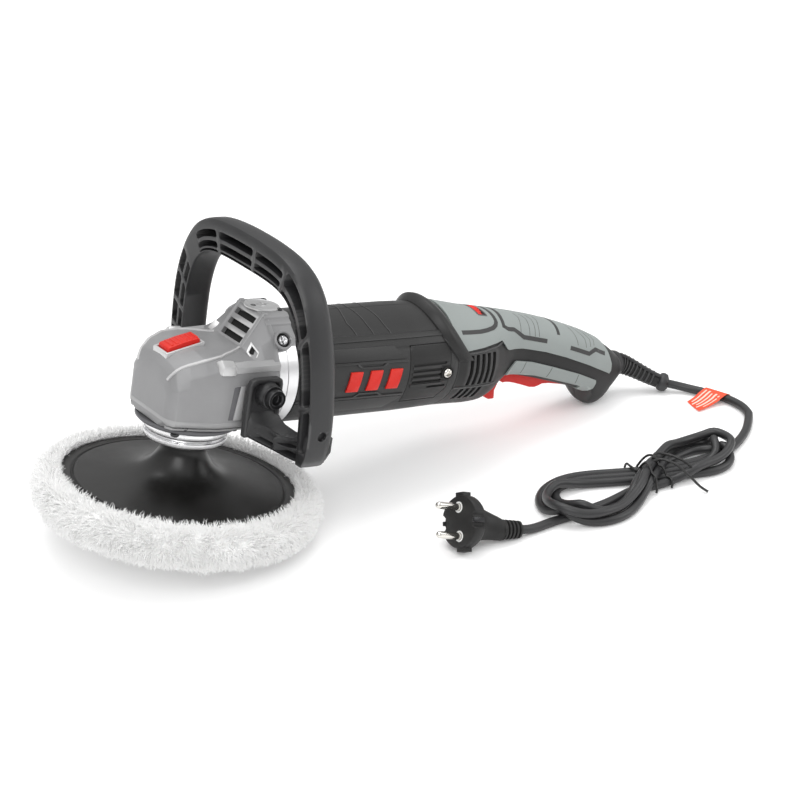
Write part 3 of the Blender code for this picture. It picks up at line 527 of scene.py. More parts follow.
# ---------------------------------------------------------------- camera, lights, floor
CAMERA_OFFSET = Vector((-0.6471, -1.1640, 0.7035))     # from a point over the pad, in metres
VIEW_DIRECTION = Vector((0.5194, 0.7339, -0.4376))


def make_camera():
    camera = placed("camera", bpy.data.cameras.new("camera"))
    camera.location = Vector((RIM.x, 0, 0.0385)) + CAMERA_OFFSET
    camera.rotation_mode = "QUATERNION"
    camera.rotation_quaternion = VIEW_DIRECTION.to_track_quat("-Z", "Y")
    camera.data.lens = 103.5
    camera.data.sensor_width = 36
    camera.data.clip_start = 0.05
    camera.data.clip_end = 60
    bpy.context.scene.camera = camera


def area_light(name, place, size, power):
    """A white rectangle of light that faces the tool."""
    data = bpy.data.lights.new(name, "AREA")
    data.shape = "RECTANGLE"
    data.size, data.size_y = size
    data.energy = power
    light = placed(name, data)
    light.location = place
    light.rotation_mode = "QUATERNION"
    light.rotation_quaternion = (Vector((0, 0, 0.05)) - light.location).to_track_quat("-Z", "Y")


def make_studio():
    """A plain pale floor and soft light, brighter overhead."""
    made, nodes, links, shader, vector = tree_of("studio floor")
    tone = mix(nodes, links, noise_node(nodes, links, vector, 3, 3), (0.93, 0.93, 0.93), (0.95, 0.95, 0.95))
    links.new(tone, shader.inputs["Base Color"])
    put(shader, Roughness=0.75, Specular_IOR_Level=0.15, Emission_Color=(1, 1, 1, 1), Emission_Strength=0.10)
    mesh = bpy.data.meshes.new("floor")
    mesh.from_pydata([(-14, -14, 0), (14, -14, 0), (14, 14, 0), (-14, 14, 0)], [], [(0, 1, 2, 3)])
    floor = placed("floor", mesh)
    floor.location.z = -0.0002
    mesh.materials.append(made)
    world = bpy.data.worlds.new("studio")
    bpy.context.scene.world = world
    world.use_nodes = True
    nodes, links = world.node_tree.nodes, world.node_tree.links
    put(nodes["Background"], Color=(1, 1, 1, 1))
    coordinates = nodes.new("ShaderNodeTexCoord")
    split = nodes.new("ShaderNodeSeparateXYZ")
    links.new(coordinates.outputs["Generated"], split.inputs["Vector"])
    overhead = ramp(nodes, links, split.outputs["Z"], 0.0, 1.0, 0.38, 1.16)
    links.new(overhead, nodes["Background"].inputs["Strength"])
    area_light("key", (-1.3, -1.3, 1.7), (1.3, 1.3), 18)
    area_light("fill", (1.7, -1.2, 1.2), (1.4, 1.0), 10)
    area_light("top", (0.1, 0.5, 2.0), (1.8, 0.8), 14)
    scene = bpy.context.scene
    scene.view_settings.view_transform = "Standard"
    scene.view_settings.look = "None"
    scene.view_settings.exposure = 0.0


make_camera()
make_studio()

# ---------------------------------------------------------------- cord
CORD_D = 6.2
CORD_GAP = 0.15                       # clear space between turns that lie against each other
CORD_POINTS, HELD_START, HELD_END = 520, 26, 14
LEAD = [
    (404.2, -22.6, 6.6), (409.5, -27.2, 5.2), (414.5, -33, 4.0), (419.2, -40.5, 3.4), (423.5, -50, 3.3),
    (426.6, -60, 3.3), (427.8, -70.5, 3.3), (426.6, -81, 3.3), (421.5, -92, 3.3), (413.5, -102, 3.3),
    (404, -110, 3.3), (395, -115.0, 3.3), (385, -120, 3.3), (370, -124.5, 3.3), (352, -126, 3.3),
    (330, -123, 3.3),
]
PLUG_END = [
    (212, -134.0, 3.3), (203, -133.6, 3.3), (195, -133.8, 3.3), (188, -133.6, 3.7), (183.6, -133.2, 4.4),
    (179.5, -132.4, 5.3),
]
WAIST = (300.0, -124.0)
# centre x, centre y, radius, height of the far side, height where the plug's lead passes under
LEFT_LOBES = [(246, -123, 35.0, 3.3, 9.6), (251, -120, 28.4, 3.3, 9.6), (240, -127, 30.0, 9.7, 16.0)]
RIGHT_LOBES = [(352, -115, 18.5, 9.6), (348, -126, 20.5, 9.6), (352, -121, 20.0, 15.8)]


def cord_route():
    """The cord from the strain relief, three times round the hank, out to the plug."""
    route = [Vector(p) for p in LEAD]
    across = [9.6, 3.2, -3.2, -9.6]
    back = [(-3.2, 9.7), (3.2, 9.7), (0.0, 15.2)]
    for k in range(3):
        x, y, radius, level, hump = LEFT_LOBES[k]
        route.append(Vector((WAIST[0] + 4, WAIST[1] + across[k], 3.3)))
        route.append(Vector((WAIST[0] - 12, WAIST[1] + across[k] + 6, 3.3 + 0.2 * (level - 3.3))))
        for degrees in range(75, 286, 15):
            angle = math.radians(degrees)
            lift = math.exp(-((degrees - 200) / 36.0) ** 2)
            long = 1.12 if 90 < degrees < 270 else 1.0
            route.append(Vector((
                x + long * radius * math.cos(angle), y + radius * math.sin(angle),
                level + (hump - level) * lift,
            )))
        side, height = back[k]
        route.append(Vector((WAIST[0] - 12, WAIST[1] + side - 5, height)))
        route.append(Vector((WAIST[0] + 4, WAIST[1] + side + 2, height)))
        x, y, radius, level = RIGHT_LOBES[k]
        for degrees in range(100, -101, -20):
            angle = math.radians(degrees)
            route.append(Vector((x + 1.25 * radius * math.cos(angle), y + radius * math.sin(angle), level)))
    route.append(Vector((WAIST[0] + 4, WAIST[1] + across[3], 3.3)))
    route.append(Vector((WAIST[0] - 14, WAIST[1] + across[3] - 1, 3.3)))
    route.append(Vector((262, -135, 3.3)))
    route.append(Vector((236, -136, 3.3)))
    route += [Vector(p) for p in PLUG_END]
    return [tuple(p) for p in route]


def settled(points, spacing):
    """Lets the cord relax: it keeps its ends, stays on the floor, and its turns push each other apart."""
    p = np.array(points, float)
    count = len(p)
    fixed = np.zeros(count, bool)
    fixed[:HELD_START] = True
    fixed[-HELD_END:] = True
    skip = int(2.2 * CORD_D / spacing) + 2
    near = np.abs(np.subtract.outer(np.arange(count), np.arange(count))) < skip
    for step in range(90):
        smooth = p.copy()
        smooth[1:-1] = p[1:-1] + 0.22 * (p[:-2] + p[2:] - 2 * p[1:-1])
        smooth[2:-2] -= 0.03 * (p[:-4] - 4 * p[1:-3] + 6 * p[2:-2] - 4 * p[3:-1] + p[4:])
        if step < 60:
            smooth[:, 2] -= 0.10
        p[~fixed] = smooth[~fixed]
        for _ in range(2):
            apart = p[:, None, :] - p[None, :, :]
            distance = np.linalg.norm(apart, axis=2)
            distance[near] = 99.0
            touching = distance < CORD_D + CORD_GAP
            if touching.any():
                push = np.where(
                    touching, (CORD_D + CORD_GAP - distance) / np.maximum(distance, 1e-6), 0
                )[:, :, None] * apart
                move = push.sum(1) / np.maximum(touching.sum(1), 1)[:, None] * 0.5
                p[~fixed] += move[~fixed]
            p[:, 2] = np.maximum(p[:, 2], CORD_D / 2 + 0.1)
    return p


def make_cord():
    """The cord as one curve, and the points it settled on."""
    dense = spline(cord_route(), CORD_POINTS)
    length = sum(math.dist(a, b) for a, b in zip(dense, dense[1:]))
    route = settled(dense, length / CORD_POINTS)
    curve = bpy.data.curves.new("mains_cord_looped", "CURVE")
    curve.dimensions = "3D"
    curve.bevel_depth = CORD_D / 2 * MM
    curve.bevel_resolution = 4
    curve.use_fill_caps = True
    line = curve.splines.new("POLY")
    line.points.add(len(route) - 1)
    line.use_smooth = True
    for point, place in zip(line.points, route):
        point.co = (*(FLOOR @ Vector(place)), 1)
    cord = placed("mains_cord_looped", curve)
    curve.materials.append(M["cord"])
    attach(cord, "tool")
    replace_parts(cord, "mains_cord", "cord_hank", "plug_lead")
    return cord, route


cord, cord_points = make_cord()

# ---------------------------------------------------------------- plug, strain relief, tie and tag
PLUG_FACE = Vector((137.0, -122.0, 20.0))
PLUG_TILT = math.radians(21.9)
PLUG_ROLL = math.radians(29.2)
PINS = Vector((-math.cos(PLUG_TILT), 0, math.sin(PLUG_TILT)))
UPRIGHT = Vector((math.sin(PLUG_TILT), 0, math.cos(PLUG_TILT)))
ACROSS = UPRIGHT * math.cos(PLUG_ROLL) + Vector((0, 1, 0)) * math.sin(PLUG_ROLL)
SLOTWISE = PINS.cross(ACROSS)


def oval(sides, wide, high):
    angles = [2 * math.pi * k / sides for k in range(sides)]
    return [Vector((wide * math.cos(angle), high * math.sin(angle), 0)) for angle in angles]


def square_to(forward):
    """The level direction and the rising one across a path."""
    side = forward.cross(Vector((0, 0, 1))).normalized()
    return side, side.cross(forward)


def along_path(path, sections, sides=40):
    """Rings square to a path; each section is (half width, half height) or a radius."""
    rings = []
    for i, place in enumerate(path):
        before, after = path[max(i - 1, 0)], path[min(i + 1, len(path) - 1)]
        side, up = square_to((after - before).normalized())
        section = sections[i] if isinstance(sections[i], tuple) else (sections[i], sections[i])
        rings.append([place + side * p.x + up * p.y for p in oval(sides, *section)])
    return rings_mesh(rings)


def plug_frame():
    """Columns: across the two pins, along the slots, back towards the cord; origin in the plug's face."""
    turn = Matrix((ACROSS, SLOTWISE, -PINS)).transposed().to_4x4()
    return FLOOR @ Matrix.Translation(PLUG_FACE) @ turn


def make_plug():
    """The plug: a notched moulding with a ribbed spine, two round pins and side contacts."""
    place = plug_frame()
    profile = [(0, 0), (15.6, 0), (16.8, 0.4), (17.4, 1.4), (17.4, 7.2), (16.6, 8.6), (14.2, 9.4), (12.8, 10.0)]
    rings = []
    sides = 72
    tail = place.inverted() @ (FLOOR @ Vector(PLUG_END[-1]))
    before = place.inverted() @ (FLOOR @ Vector(PLUG_END[-2]))
    leaving = (before - tail).normalized()
    for radius, height in profile:
        depth = 0.19 * (height < 9) * (1 if height < 8 else 0.5)
        ring = []
        for point in oval(sides, radius, radius):
            notched = abs(math.degrees(math.atan2(abs(point.y), point.x)) - 90) < 16
            ring.append(point * (1 - depth * notched) + Vector((0, 0, height)))
        rings.append(ring if radius else ring[:1])
    start = Vector((0, 0, 10))
    neck = tail - leaving * 15.5
    for i in range(1, 13):
        share = i / 12
        centre = start.lerp(Vector((0, 0, 19)), share).lerp(Vector((0, 0, 19)).lerp(neck, share), share)
        radius = 12.8 + (7.2 - 12.8) * share
        flat = 1 - 0.2 * math.sin(math.pi * min(1, share * 1.2)) ** 0.5 * (share < 0.99)
        rings.append([centre + point for point in oval(sides, radius, flat * radius)])
    turn = Vector((0, 0, 1)).rotation_difference(leaving)
    spine = [(0.6, 7.2)]
    for j in range(5):
        rib = ((0.1, 5.4), (0.3, 5.4), (0.4, 6.9), (0.9, 6.7), (1.0, 5.4))
        spine += [(0.6 + 14.4 * (j + share) / 5, radius - 0.25 * j) for share, radius in rib]
    for offset, radius in spine + [(15.5, 4.2)]:
        rings.append([neck + leaving * offset + turn @ point for point in oval(sides, radius, radius)])
    body = tool_object("plug_moulding", rings_mesh(rings), place)
    for side in (-1, 1):
        boolean(body, block((side * 17.2 - 2.2, -3.6, 1.0), (side * 17.2 + 2.2, 3.6, 7.6)), "UNION", place)
    wells = [block((-3.4, -1.3, -2), (3.4, 1.3, 4.5))]
    for side in (-1, 1):
        wells.append(turned(rod(3.9, -2, 0.9), "Z", (9.5 * side, 0, 0), 32))
        wells.append(
            prism([(-2.1, side * 19), (-1.2, side * 13.4), (1.2, side * 13.4), (2.1, side * 19)], -2, 9.5, "Z")
        )
    boolean(body, joined(wells), "DIFFERENCE", place)
    soften(body, 0.25)
    finish_piece(body, "plug", stands_for="plug_body")
    pieces = [body]
    for name, side in (("upper", 1), ("lower", -1)):
        pin = turned(
            rounded([(0, 0.1), (2.4, 0.1), (2.4, -17.2), (1.5, -19), (0, -19.3)], 0.6, 3, closed=False), "Z",
            (9.5 * side, 0, 0), 40
        )
        pin = piece("plug_contact_" + name, pin, "nickel", "plug_pin_" + name, place=place)
        ring = turned(
            rounded([(2.5, 0.3), (3.7, 0.3), (3.7, 1.1), (2.5, 1.1)], 0.2), "Z", (9.5 * side, 0, -0.4), 40
        )
        ring = piece("plug_contact_ring_" + name, ring, "white ring", place=place)
        pieces += [pin, ring]
        metal = block((-1.5, side * 14.4 - 0.9, -0.5), (1.5, side * 14.4 + 0.9, 8.5))
        strip = piece("plug_earth_contact_" + name, metal, "black steel", place=place, soft=(0.2,))
        pieces.append(strip)
    return pieces


def bezier(points, share):
    while len(points) > 1:
        points = [a.lerp(b, share) for a, b in zip(points, points[1:])]
    return points[0]


def taper(root, share):
    """The strain relief's radius at a share of its length."""
    return root - 2.9 * min(1, share / 0.82) ** 0.9


def make_relief():
    """The cord's ribbed strain relief, bent down to the floor."""
    to_floor = FLOOR.inverted() @ TOOL
    start = to_floor @ Vector((366.15, 0, 54.3))
    heading = (to_floor.to_3x3() @ Vector((1, 0, 0))).normalized()
    lead = Vector(LEAD[0])
    leaving = (Vector(LEAD[1]) - lead).normalized()
    end = lead - leaving * 0.15
    root = start + heading * 2
    control = [root, root + heading * 10, end - leaving * 16, end]
    path, sections = [start], [(8.2, 8.2)]
    steps = 60
    for i in range(steps + 1):
        share = i / steps
        path.append(bezier(control, share))
        radius = taper(8.2, share)
        if share > 0.84:
            radius = 4.9 + 1.5 * math.sin(math.pi * min(1, (share - 0.84) / 0.16)) ** 0.5
        sections.append(radius * 0.86)
    piece(
        "strain_relief_core", along_path(path, sections, 32), "shell black", "strain_relief",
        place=FLOOR
    )
    collar_at = (0.84, 0.86, 0.89, 0.93, 0.97, 0.995)
    collar_r = [4.6, 6.2, 6.9, 6.9, 6.3, 4.4]
    piece(
        "strain_relief_collar", along_path([bezier(control, s) for s in collar_at], collar_r, 40),
        "handle black", place=FLOOR, soft=(0.3,)
    )
    ribs = []
    for i in range(10):
        share = 0.02 + 0.078 * i
        here = bezier(control, share)
        ahead = bezier(control, share + 0.028)
        radius = taper(8.4, share)
        ribs.append(
            along_path(
                [here, here.lerp(ahead, 0.2), here.lerp(ahead, 0.8), ahead],
                [radius * 0.9, radius, radius * 0.98, radius * 0.88], 28
            )
        )
    piece("strain_relief_ribs", joined(ribs), "handle black", place=FLOOR)
    rails = []
    for sign in (-1, 1):
        rings = []
        for i in range(31):
            share = 0.86 * i / 30
            here, ahead = bezier(control, share), bezier(control, share + 0.01)
            side, up = square_to((ahead - here).normalized())
            radius = taper(8.4, share)
            centre = here + (side * 0.35 + up * 0.94).normalized() * radius * sign
            rings.append([
                centre + side * a + up * b for a, b in ((-1.5, -1), (1.5, -1), (1.5, 0.8), (-1.5, 0.8))
            ])
        rails.append(rings_mesh(rings))
    piece("strain_relief_rails", joined(rails), "handle black", place=FLOOR, soft=(0.35,))


def wire(name, points, radius):
    path = [Vector(p) for p in spline(points, 10 * len(points))]
    return piece(name, along_path(path, [radius] * len(path), 12), "tie", place=FLOOR)


def make_ties(route):
    """Two turns of plastic-covered wire round the waist of the hank, with twisted ends."""
    pieces = []
    for index, (x, lean) in enumerate(((293.0, 3.0), (303.0, -4.0))):
        near = [p for p in route if abs(p[0] - x) < 4]
        low_y = min(p[1] for p in near) - CORD_D / 2 - 1.0
        high_y = max(p[1] for p in near) + CORD_D / 2 + 1.0
        tops = []
        steps = 9
        for i in range(steps):
            y = low_y + 1.5 + (high_y - low_y - 3.0) * i / (steps - 1)
            level = CORD_D + 1.0
            for p in near:
                reach = (CORD_D / 2 + 0.9) ** 2 - (y - p[1]) ** 2
                if reach > 0:
                    level = max(level, p[2] + math.sqrt(reach))
            tops.append((x + lean * (i / (steps - 1) - 0.5), y, level + 0.3))
        loop = [(x - lean / 2, low_y, 1.0), (x - lean / 2, low_y - 0.3, 4.5)] + tops
        loop += [(x + lean / 2, high_y + 0.3, 4.5), (x + lean / 2, high_y, 1.0)]
        pieces.append(wire("wire_tie_turn_%d" % (index + 1), loop, 0.85))
    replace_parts(pieces[0], "cord_tie")
    top = max(p[2] for p in route if 286 < p[0] < 308) + 4.4
    long_end = [
        (299, -127, top - 0.6), (303, -131, top + 1.0), (309, -139, top - 1.5), (314, -148, 10), (318, -154, 4),
        (321, -159, 1.2)
    ]
    short_end = [
        (301, -124, top - 0.6), (306, -121, top + 0.6), (313, -126, top - 0.5), (318, -133, top - 2.5),
        (323, -139, 11.5)
    ]
    return pieces + [wire("wire_tie_end_long", long_end, 0.9), wire("wire_tie_end_short", short_end, 0.9)]


def make_tag():
    """A paper tag folded over the cord, its leaf lying down on the floor beside it."""
    profile = [
        (-3.6, 1.4), (-3.65, 3.4), (-2.9, 5.5), (-1.0, 6.8), (1.2, 6.85), (4.4, 5.7), (9.0, 3.6), (14.5, 1.9),
        (21.0, 0.9)
    ]
    ends = ((421.6, -44.6, 17.6), (427.0, -62.2, 27.6))
    dense = spline(profile, 33)

    def at(s, t, lift=0.0):
        """A place on the tag: s along the cord, t across it."""
        x, y, reach = [a + (b - a) * s for a, b in zip(*ends)]
        left, z = dense[min(32, int(round(t * 32)))]
        wide = left if left < 4 else 4 + (left - 4) * (reach - 4) / 17.0
        wave = 0.5 * math.sin(3.2 * s + 4 * t) * (left > 6)
        return Vector((x - wide, y, max(0.5, z + lift + wave)))

    def sheet(name, spans, lift, thick, material):
        bm = bmesh.new()
        for s0, s1, t0, t1 in spans:
            rows, columns = 6, max(2, int((t1 - t0) * 32))
            grid = [
                [
                    bm.verts.new(at(s0 + (s1 - s0) * i / rows, t0 + (t1 - t0) * j / columns, lift))
                    for j in range(columns + 1)
                ]
                for i in range(rows + 1)
            ]
            for i in range(rows):
                for j in range(columns):
                    bm.faces.new((grid[i][j], grid[i + 1][j], grid[i + 1][j + 1], grid[i][j + 1]))
        obj = tool_object(name, bm, FLOOR, 60)
        modifier = obj.modifiers.new("Thickness", "SOLIDIFY")
        modifier.thickness = thick * MM
        modifier.offset = 0
        bake(obj, 60)
        return finish_piece(obj, material)

    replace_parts(sheet("folded_paper_tag", [(0, 1, 0, 1)], 0.0, 0.25, "tag"), "cord_tag")
    bars = [
        (0.14, 0.20, 0.34, 0.92), (0.30, 0.38, 0.34, 0.96), (0.48, 0.54, 0.40, 0.90), (0.64, 0.72, 0.36, 0.96),
        (0.82, 0.87, 0.42, 0.84)
    ]
    sheet("folded_paper_tag_bars", bars, 0.22, 0.1, "tag print")


# ---------------------------------------------------------------- wool pad
BONNET = [
    (0, -24), (80.4, -24), (88, -21.5), (92.5, -16), (94.5, -9), (93, -2), (89, 3), (84, 5.2), (77.2, 4.6),
    (75.2, 3.0), (76.2, 1.0),
]
WOOL_INSET = 4.2
SIDE_LOCKS, FRINGE_LOCKS, FACE_LOCKS = 21000, 2600, 5200


def wool_outline():
    """The bonnet's outer profile from its face round to the plate, with each point's outward direction."""
    points = spline([Vector(p) for p in BONNET[1:-1]], 90)
    made = []
    for i, point in enumerate(points):
        before, after = Vector(points[max(i - 1, 0)]), Vector(points[min(i + 1, len(points) - 1)])
        along = (after - before).normalized()
        made.append((Vector(point), Vector((along.y, -along.x))))
    return made


def make_wool():
    """The bonnet's base with locks of wool over its side, its fringe and its face."""
    outline = wool_outline()
    profile = [(0.0, -21.5), (40, -21.5), (70, -21.5)]
    for point, out in outline:
        inner = point - out * WOOL_INSET
        profile.append((inner.x, max(inner.y, -21.5)))
    profile += [(78.9, 1.2), (78.9, -6.5), (76.6, -6.5), (76.6, -18.0), (0, -18.0)]
    core = turned(profile, sides=220)
    for vert in core.verts:
        place = vert.co
        if math.hypot(place.x, place.y) > 79.2:
            shift = noise.noise(place * 0.14) * 1.8 + noise.noise(place * 0.45) * 1.2
            flat = Vector((place.x, place.y, 0)).normalized()
            vert.co = place + (flat + Vector((0, 0, 0.4))) * shift
    core = piece("wool_pile_base", core, "wool", "wool_bonnet", body="spindle_set", smooth=180)

    def lock(bm, root, direction, length, thick, curl, phase, floor_z):
        """One curly lock of wool: a thin three-sided tapering tube."""
        side = direction.cross(Vector((0.3, 0.2, 0.93))).normalized()
        other = direction.cross(side)
        rings = []
        steps = 5
        for i in range(steps):
            share = i / (steps - 1)
            swing = curl * share
            centre = root + direction * length * share + side * swing * math.sin(
                phase + 4.5 * share
            ) + other * swing * math.cos(phase + 4.5 * share)
            radius = thick * (1 - 0.75 * share)
            ring = []
            for k in range(3):
                angle = phase + 2 * math.pi * k / 3
                point = centre + (side * math.cos(angle) + other * math.sin(angle)) * radius
                if point.z < floor_z(point):
                    point.z = floor_z(point)
                ring.append(bm.verts.new(point))
            rings.append(ring)
        for first, second in zip(rings, rings[1:]):
            for k in range(3):
                bm.faces.new((first[k], first[(k + 1) % 3], second[(k + 1) % 3], second[k]))
        bm.faces.new(rings[-1])

    ground = lambda p: (0.5 - RIM.z / MM + p.x * math.sin(TILT)) / math.cos(TILT)
    lengths = []
    travelled = 0.0
    for (a, _), (b, _) in zip(outline, outline[1:]):
        travelled += (b - a).length * (a.x + b.x) / 2
        lengths.append(travelled)
    groups = {}
    for i in range(SIDE_LOCKS):
        at = rng.random() * travelled
        index = next(k for k, value in enumerate(lengths) if value >= at)
        point, out = outline[index]
        angle = rng.uniform(0, 2 * math.pi)
        group = groups.setdefault("upper" if point.y > -9 else "lower", bmesh.new())
        radial = Vector((math.cos(angle), math.sin(angle), 0))
        around = Vector((-math.sin(angle), math.cos(angle), 0))
        normal = radial * out.x + Vector((0, 0, out.y))
        base = point - out * (WOOL_INSET - 0.2)
        root = radial * base.x + Vector((0, 0, base.y))
        clump = noise.noise(root * 0.09)
        clump_two = noise.noise(root * 0.09 + Vector((40, 3, 9)))
        lean = around * (clump * 1.5 + rng.gauss(0, 0.35)) + Vector((
            0, 0, clump_two * 1.2 - 0.1 + rng.gauss(0, 0.3)
        ))
        direction = (normal + lean * 0.62).normalized()
        length = 5.6 * rng.uniform(0.75, 1.3) * (1 + 0.25 * noise.noise(root * 0.2))
        if point.y > 3.0 and base.x < 84:
            length *= 0.62
        lock(
            group, root, direction, length, rng.uniform(0.34, 0.6), rng.uniform(0.3, 1.1), rng.uniform(0, 6.28),
            ground
        )
    for i in range(FRINGE_LOCKS):
        angle = rng.uniform(0, 2 * math.pi)
        radial = Vector((math.cos(angle), math.sin(angle), 0))
        around = Vector((-math.sin(angle), math.cos(angle), 0))
        root = radial * rng.uniform(79.2, 82.0) + Vector((0, 0, rng.uniform(0.2, 2.4)))
        tuft = noise.noise(root * 0.16)
        inward = 0.62 + 0.5 * noise.noise(root * 0.12 + Vector((7, 2, 5)))
        direction = (
            -radial * inward + Vector((0, 0, 0.8)) + around * (1.1 * tuft + rng.gauss(0, 0.28))
        ).normalized()
        lock(
            groups["upper"], root, direction, rng.uniform(3.2, 7.4), rng.uniform(0.26, 0.44),
            rng.uniform(0.2, 0.8), rng.uniform(0, 6.28), ground
        )
    under = bmesh.new()
    for i in range(FACE_LOCKS):
        radius = 82 * math.sqrt(rng.random())
        angle = rng.uniform(0, 2 * math.pi)
        root = Vector((radius * math.cos(angle), radius * math.sin(angle), -21.4))
        direction = Vector((rng.gauss(0, 0.6), rng.gauss(0, 0.6), -1)).normalized()
        lock(
            under, root, direction, rng.uniform(2.6, 3.6), rng.uniform(0.5, 0.9), rng.uniform(0.3, 0.9),
            rng.uniform(0, 6.28), ground
        )
    groups["face"] = under
    for name, group in groups.items():
        locks = piece("wool_locks_" + name, group, "wool", body="spindle_set", smooth=180)


# ---------------------------------------------------------------- plate, collar and flange
PLATE_R, PLATE_THICK = 78.7, 4.0
NECK_R, NECK_TOP, GROOVE_R = 15.0, 32.5, 67.9


def dish_height(radius):
    """The height of the plate's dished top at a radius."""
    share = (GROOVE_R - radius) / (GROOVE_R - NECK_R)
    return 1.7 + 7.5 * share + 15.0 * share ** 7


def make_plate():
    """The dished backing plate with its neck, and the nut in its hub."""
    steps = 40
    radii = [GROOVE_R + (NECK_R - GROOVE_R) * (i / steps) ** 0.8 for i in range(steps + 1)]
    dish = [(radius, dish_height(radius)) for radius in radii]
    plate = [
        (0, -PLATE_THICK), (PLATE_R - 0.6, -PLATE_THICK), (PLATE_R, -PLATE_THICK + 0.6), (PLATE_R, -0.9),
        (PLATE_R - 0.25, -0.3),
        (PLATE_R - 0.9, 0.15), (75.5, 0.5), (71.2, 0.95), (70.6, 0.7), (70.2, 0.2), (69.6, 0.0), (69.0, 0.3),
        (68.6, 1.1), (68.2, 1.55),
    ]
    plate += dish[1:-1] + [
        (15.5, 23.6), (15.1, 25.2), (NECK_R, 27), (NECK_R, 28.6), (14.5, 28.9), (14.5, 29.5), (NECK_R, 29.8),
        (NECK_R, NECK_TOP - 0.4),
        (14.6, NECK_TOP), (12.3, NECK_TOP), (12.3, 8.0), (0, 8.0),
    ]
    piece(
        "moulded_backing_plate", turned(plate, sides=200), "plate black", "backing_plate",
        body="spindle_set", smooth=38
    )
    nut = [(7.3, 29.6), (11.9, 29.6), (11.9, 33.2), (7.3, 33.2)]
    piece(
        "hub_nut", turned(rounded(nut, 0.4), sides=6, start=0.2), "steel", body="spindle_set",
        soft=(0.4,)
    )


def make_collar_and_flange():
    """The grooved collar, and the flange with its four screws."""
    collar = [
        (12.6, 33.0), (26.2, 33.0), (27.1, 33.3), (27.4, 34.2), (27.4, 36.6), (27.0, 37.1), (25.6, 37.3),
        (25.4, 37.9), (25.6, 38.5),
        (27.0, 38.7), (27.3, 39.2), (27.3, 43.6), (26.9, 44.4), (26.2, 44.8), (12.6, 44.8),
    ]
    piece(
        "turned_collar", turned(collar, sides=160), "aluminium", "spindle_collar", smooth=35
    )
    flange = [
        (20.3, 44.95), (31.5, 44.95), (33.2, 45.2), (34.0, 46.0), (34.0, 47.4), (33.4, 48.2), (23.5, 48.2),
        (23.5, 57.2), (20.3, 57.2),
    ]
    flange = tool_object("cast_flange", turned(flange, sides=120, start=0.02), smooth=35)
    holes = []
    places = [on_axis("Z", 30.9, math.radians(45 + 90 * i), 0, (0, 0, 0)) for i in range(4)]
    for centre in places:
        holes.append(turned(rod(3.4, 40, 46.2), "Z", centre, 24))
        holes.append(turned(rod(1.9, 40, 52), "Z", centre, 24))
    boolean(flange, joined(holes))
    finish_piece(flange, "dark casting", stands_for="bearing_flange")
    for i, centre in enumerate(places):
        screw = rounded(
            [(0, 42.7), (2.2, 42.7), (2.9, 43.4), (2.9, 44.8), (1.6, 44.8), (1.6, 48.2), (0, 48.2)], 0.3
        )
        piece(
            "flange_socket_screw_%d" % (i + 1), turned(screw, "Z", centre, 32), "black steel",
            "flange_screw_%d" % (i + 1), cuts=[turned(rod(1.4, 41, 44), "Z", centre, 6, 0.3)]
        )

# ---------------------------------------------------------------- details that lie on a surface


def surface_of(*objects):
    """A tree for finding the nearest surface, in tool millimetres."""
    to_tool = TOOL.inverted()
    points, faces = [], []
    for obj in objects:
        start = len(points)
        points += [to_tool @ (obj.matrix_world @ v.co) for v in obj.data.vertices]
        faces += [[start + i for i in p.vertices] for p in obj.data.polygons]
    return BVHTree.FromPolygons(points, faces)


def laid_strip(tree, points, width, above, below=1.2, step=1.2, taper=0.0):
    """A strip that follows the surface along a line of 3-D points."""
    points = [Vector(p) for p in points]
    dense = [points[0]]
    for a, b in zip(points, points[1:]):
        count = max(1, int((b - a).length / step))
        dense += [a.lerp(b, (i + 1) / count) for i in range(count)]
    found = []
    for point in dense:
        place, normal, _, _ = tree.find_nearest(point)
        found.append((place, normal))
    normals = []
    for i in range(len(found)):
        near = found[max(0, i - 2):i + 3]
        normals.append(sum((n for _, n in near), Vector()).normalized())
    rings = []
    for i, (place, _) in enumerate(found):
        before, after = found[max(i - 1, 0)][0], found[min(i + 1, len(found) - 1)][0]
        along = (after - before).normalized()
        if 0 < i < len(found) - 1:
            one = (place - before).normalized()
            grow = 1 / max(0.6, along.dot(one))
        else:
            grow = 1.0
        across = along.cross(normals[i]).normalized() * (width / 2 * grow)
        up = normals[i]
        top = across * (1 - taper)
        rings.append([
            place - across - up * below, place + across - up * below, place + top + up * above,
            place - top + up * above
        ])
    return rings_mesh(rings)


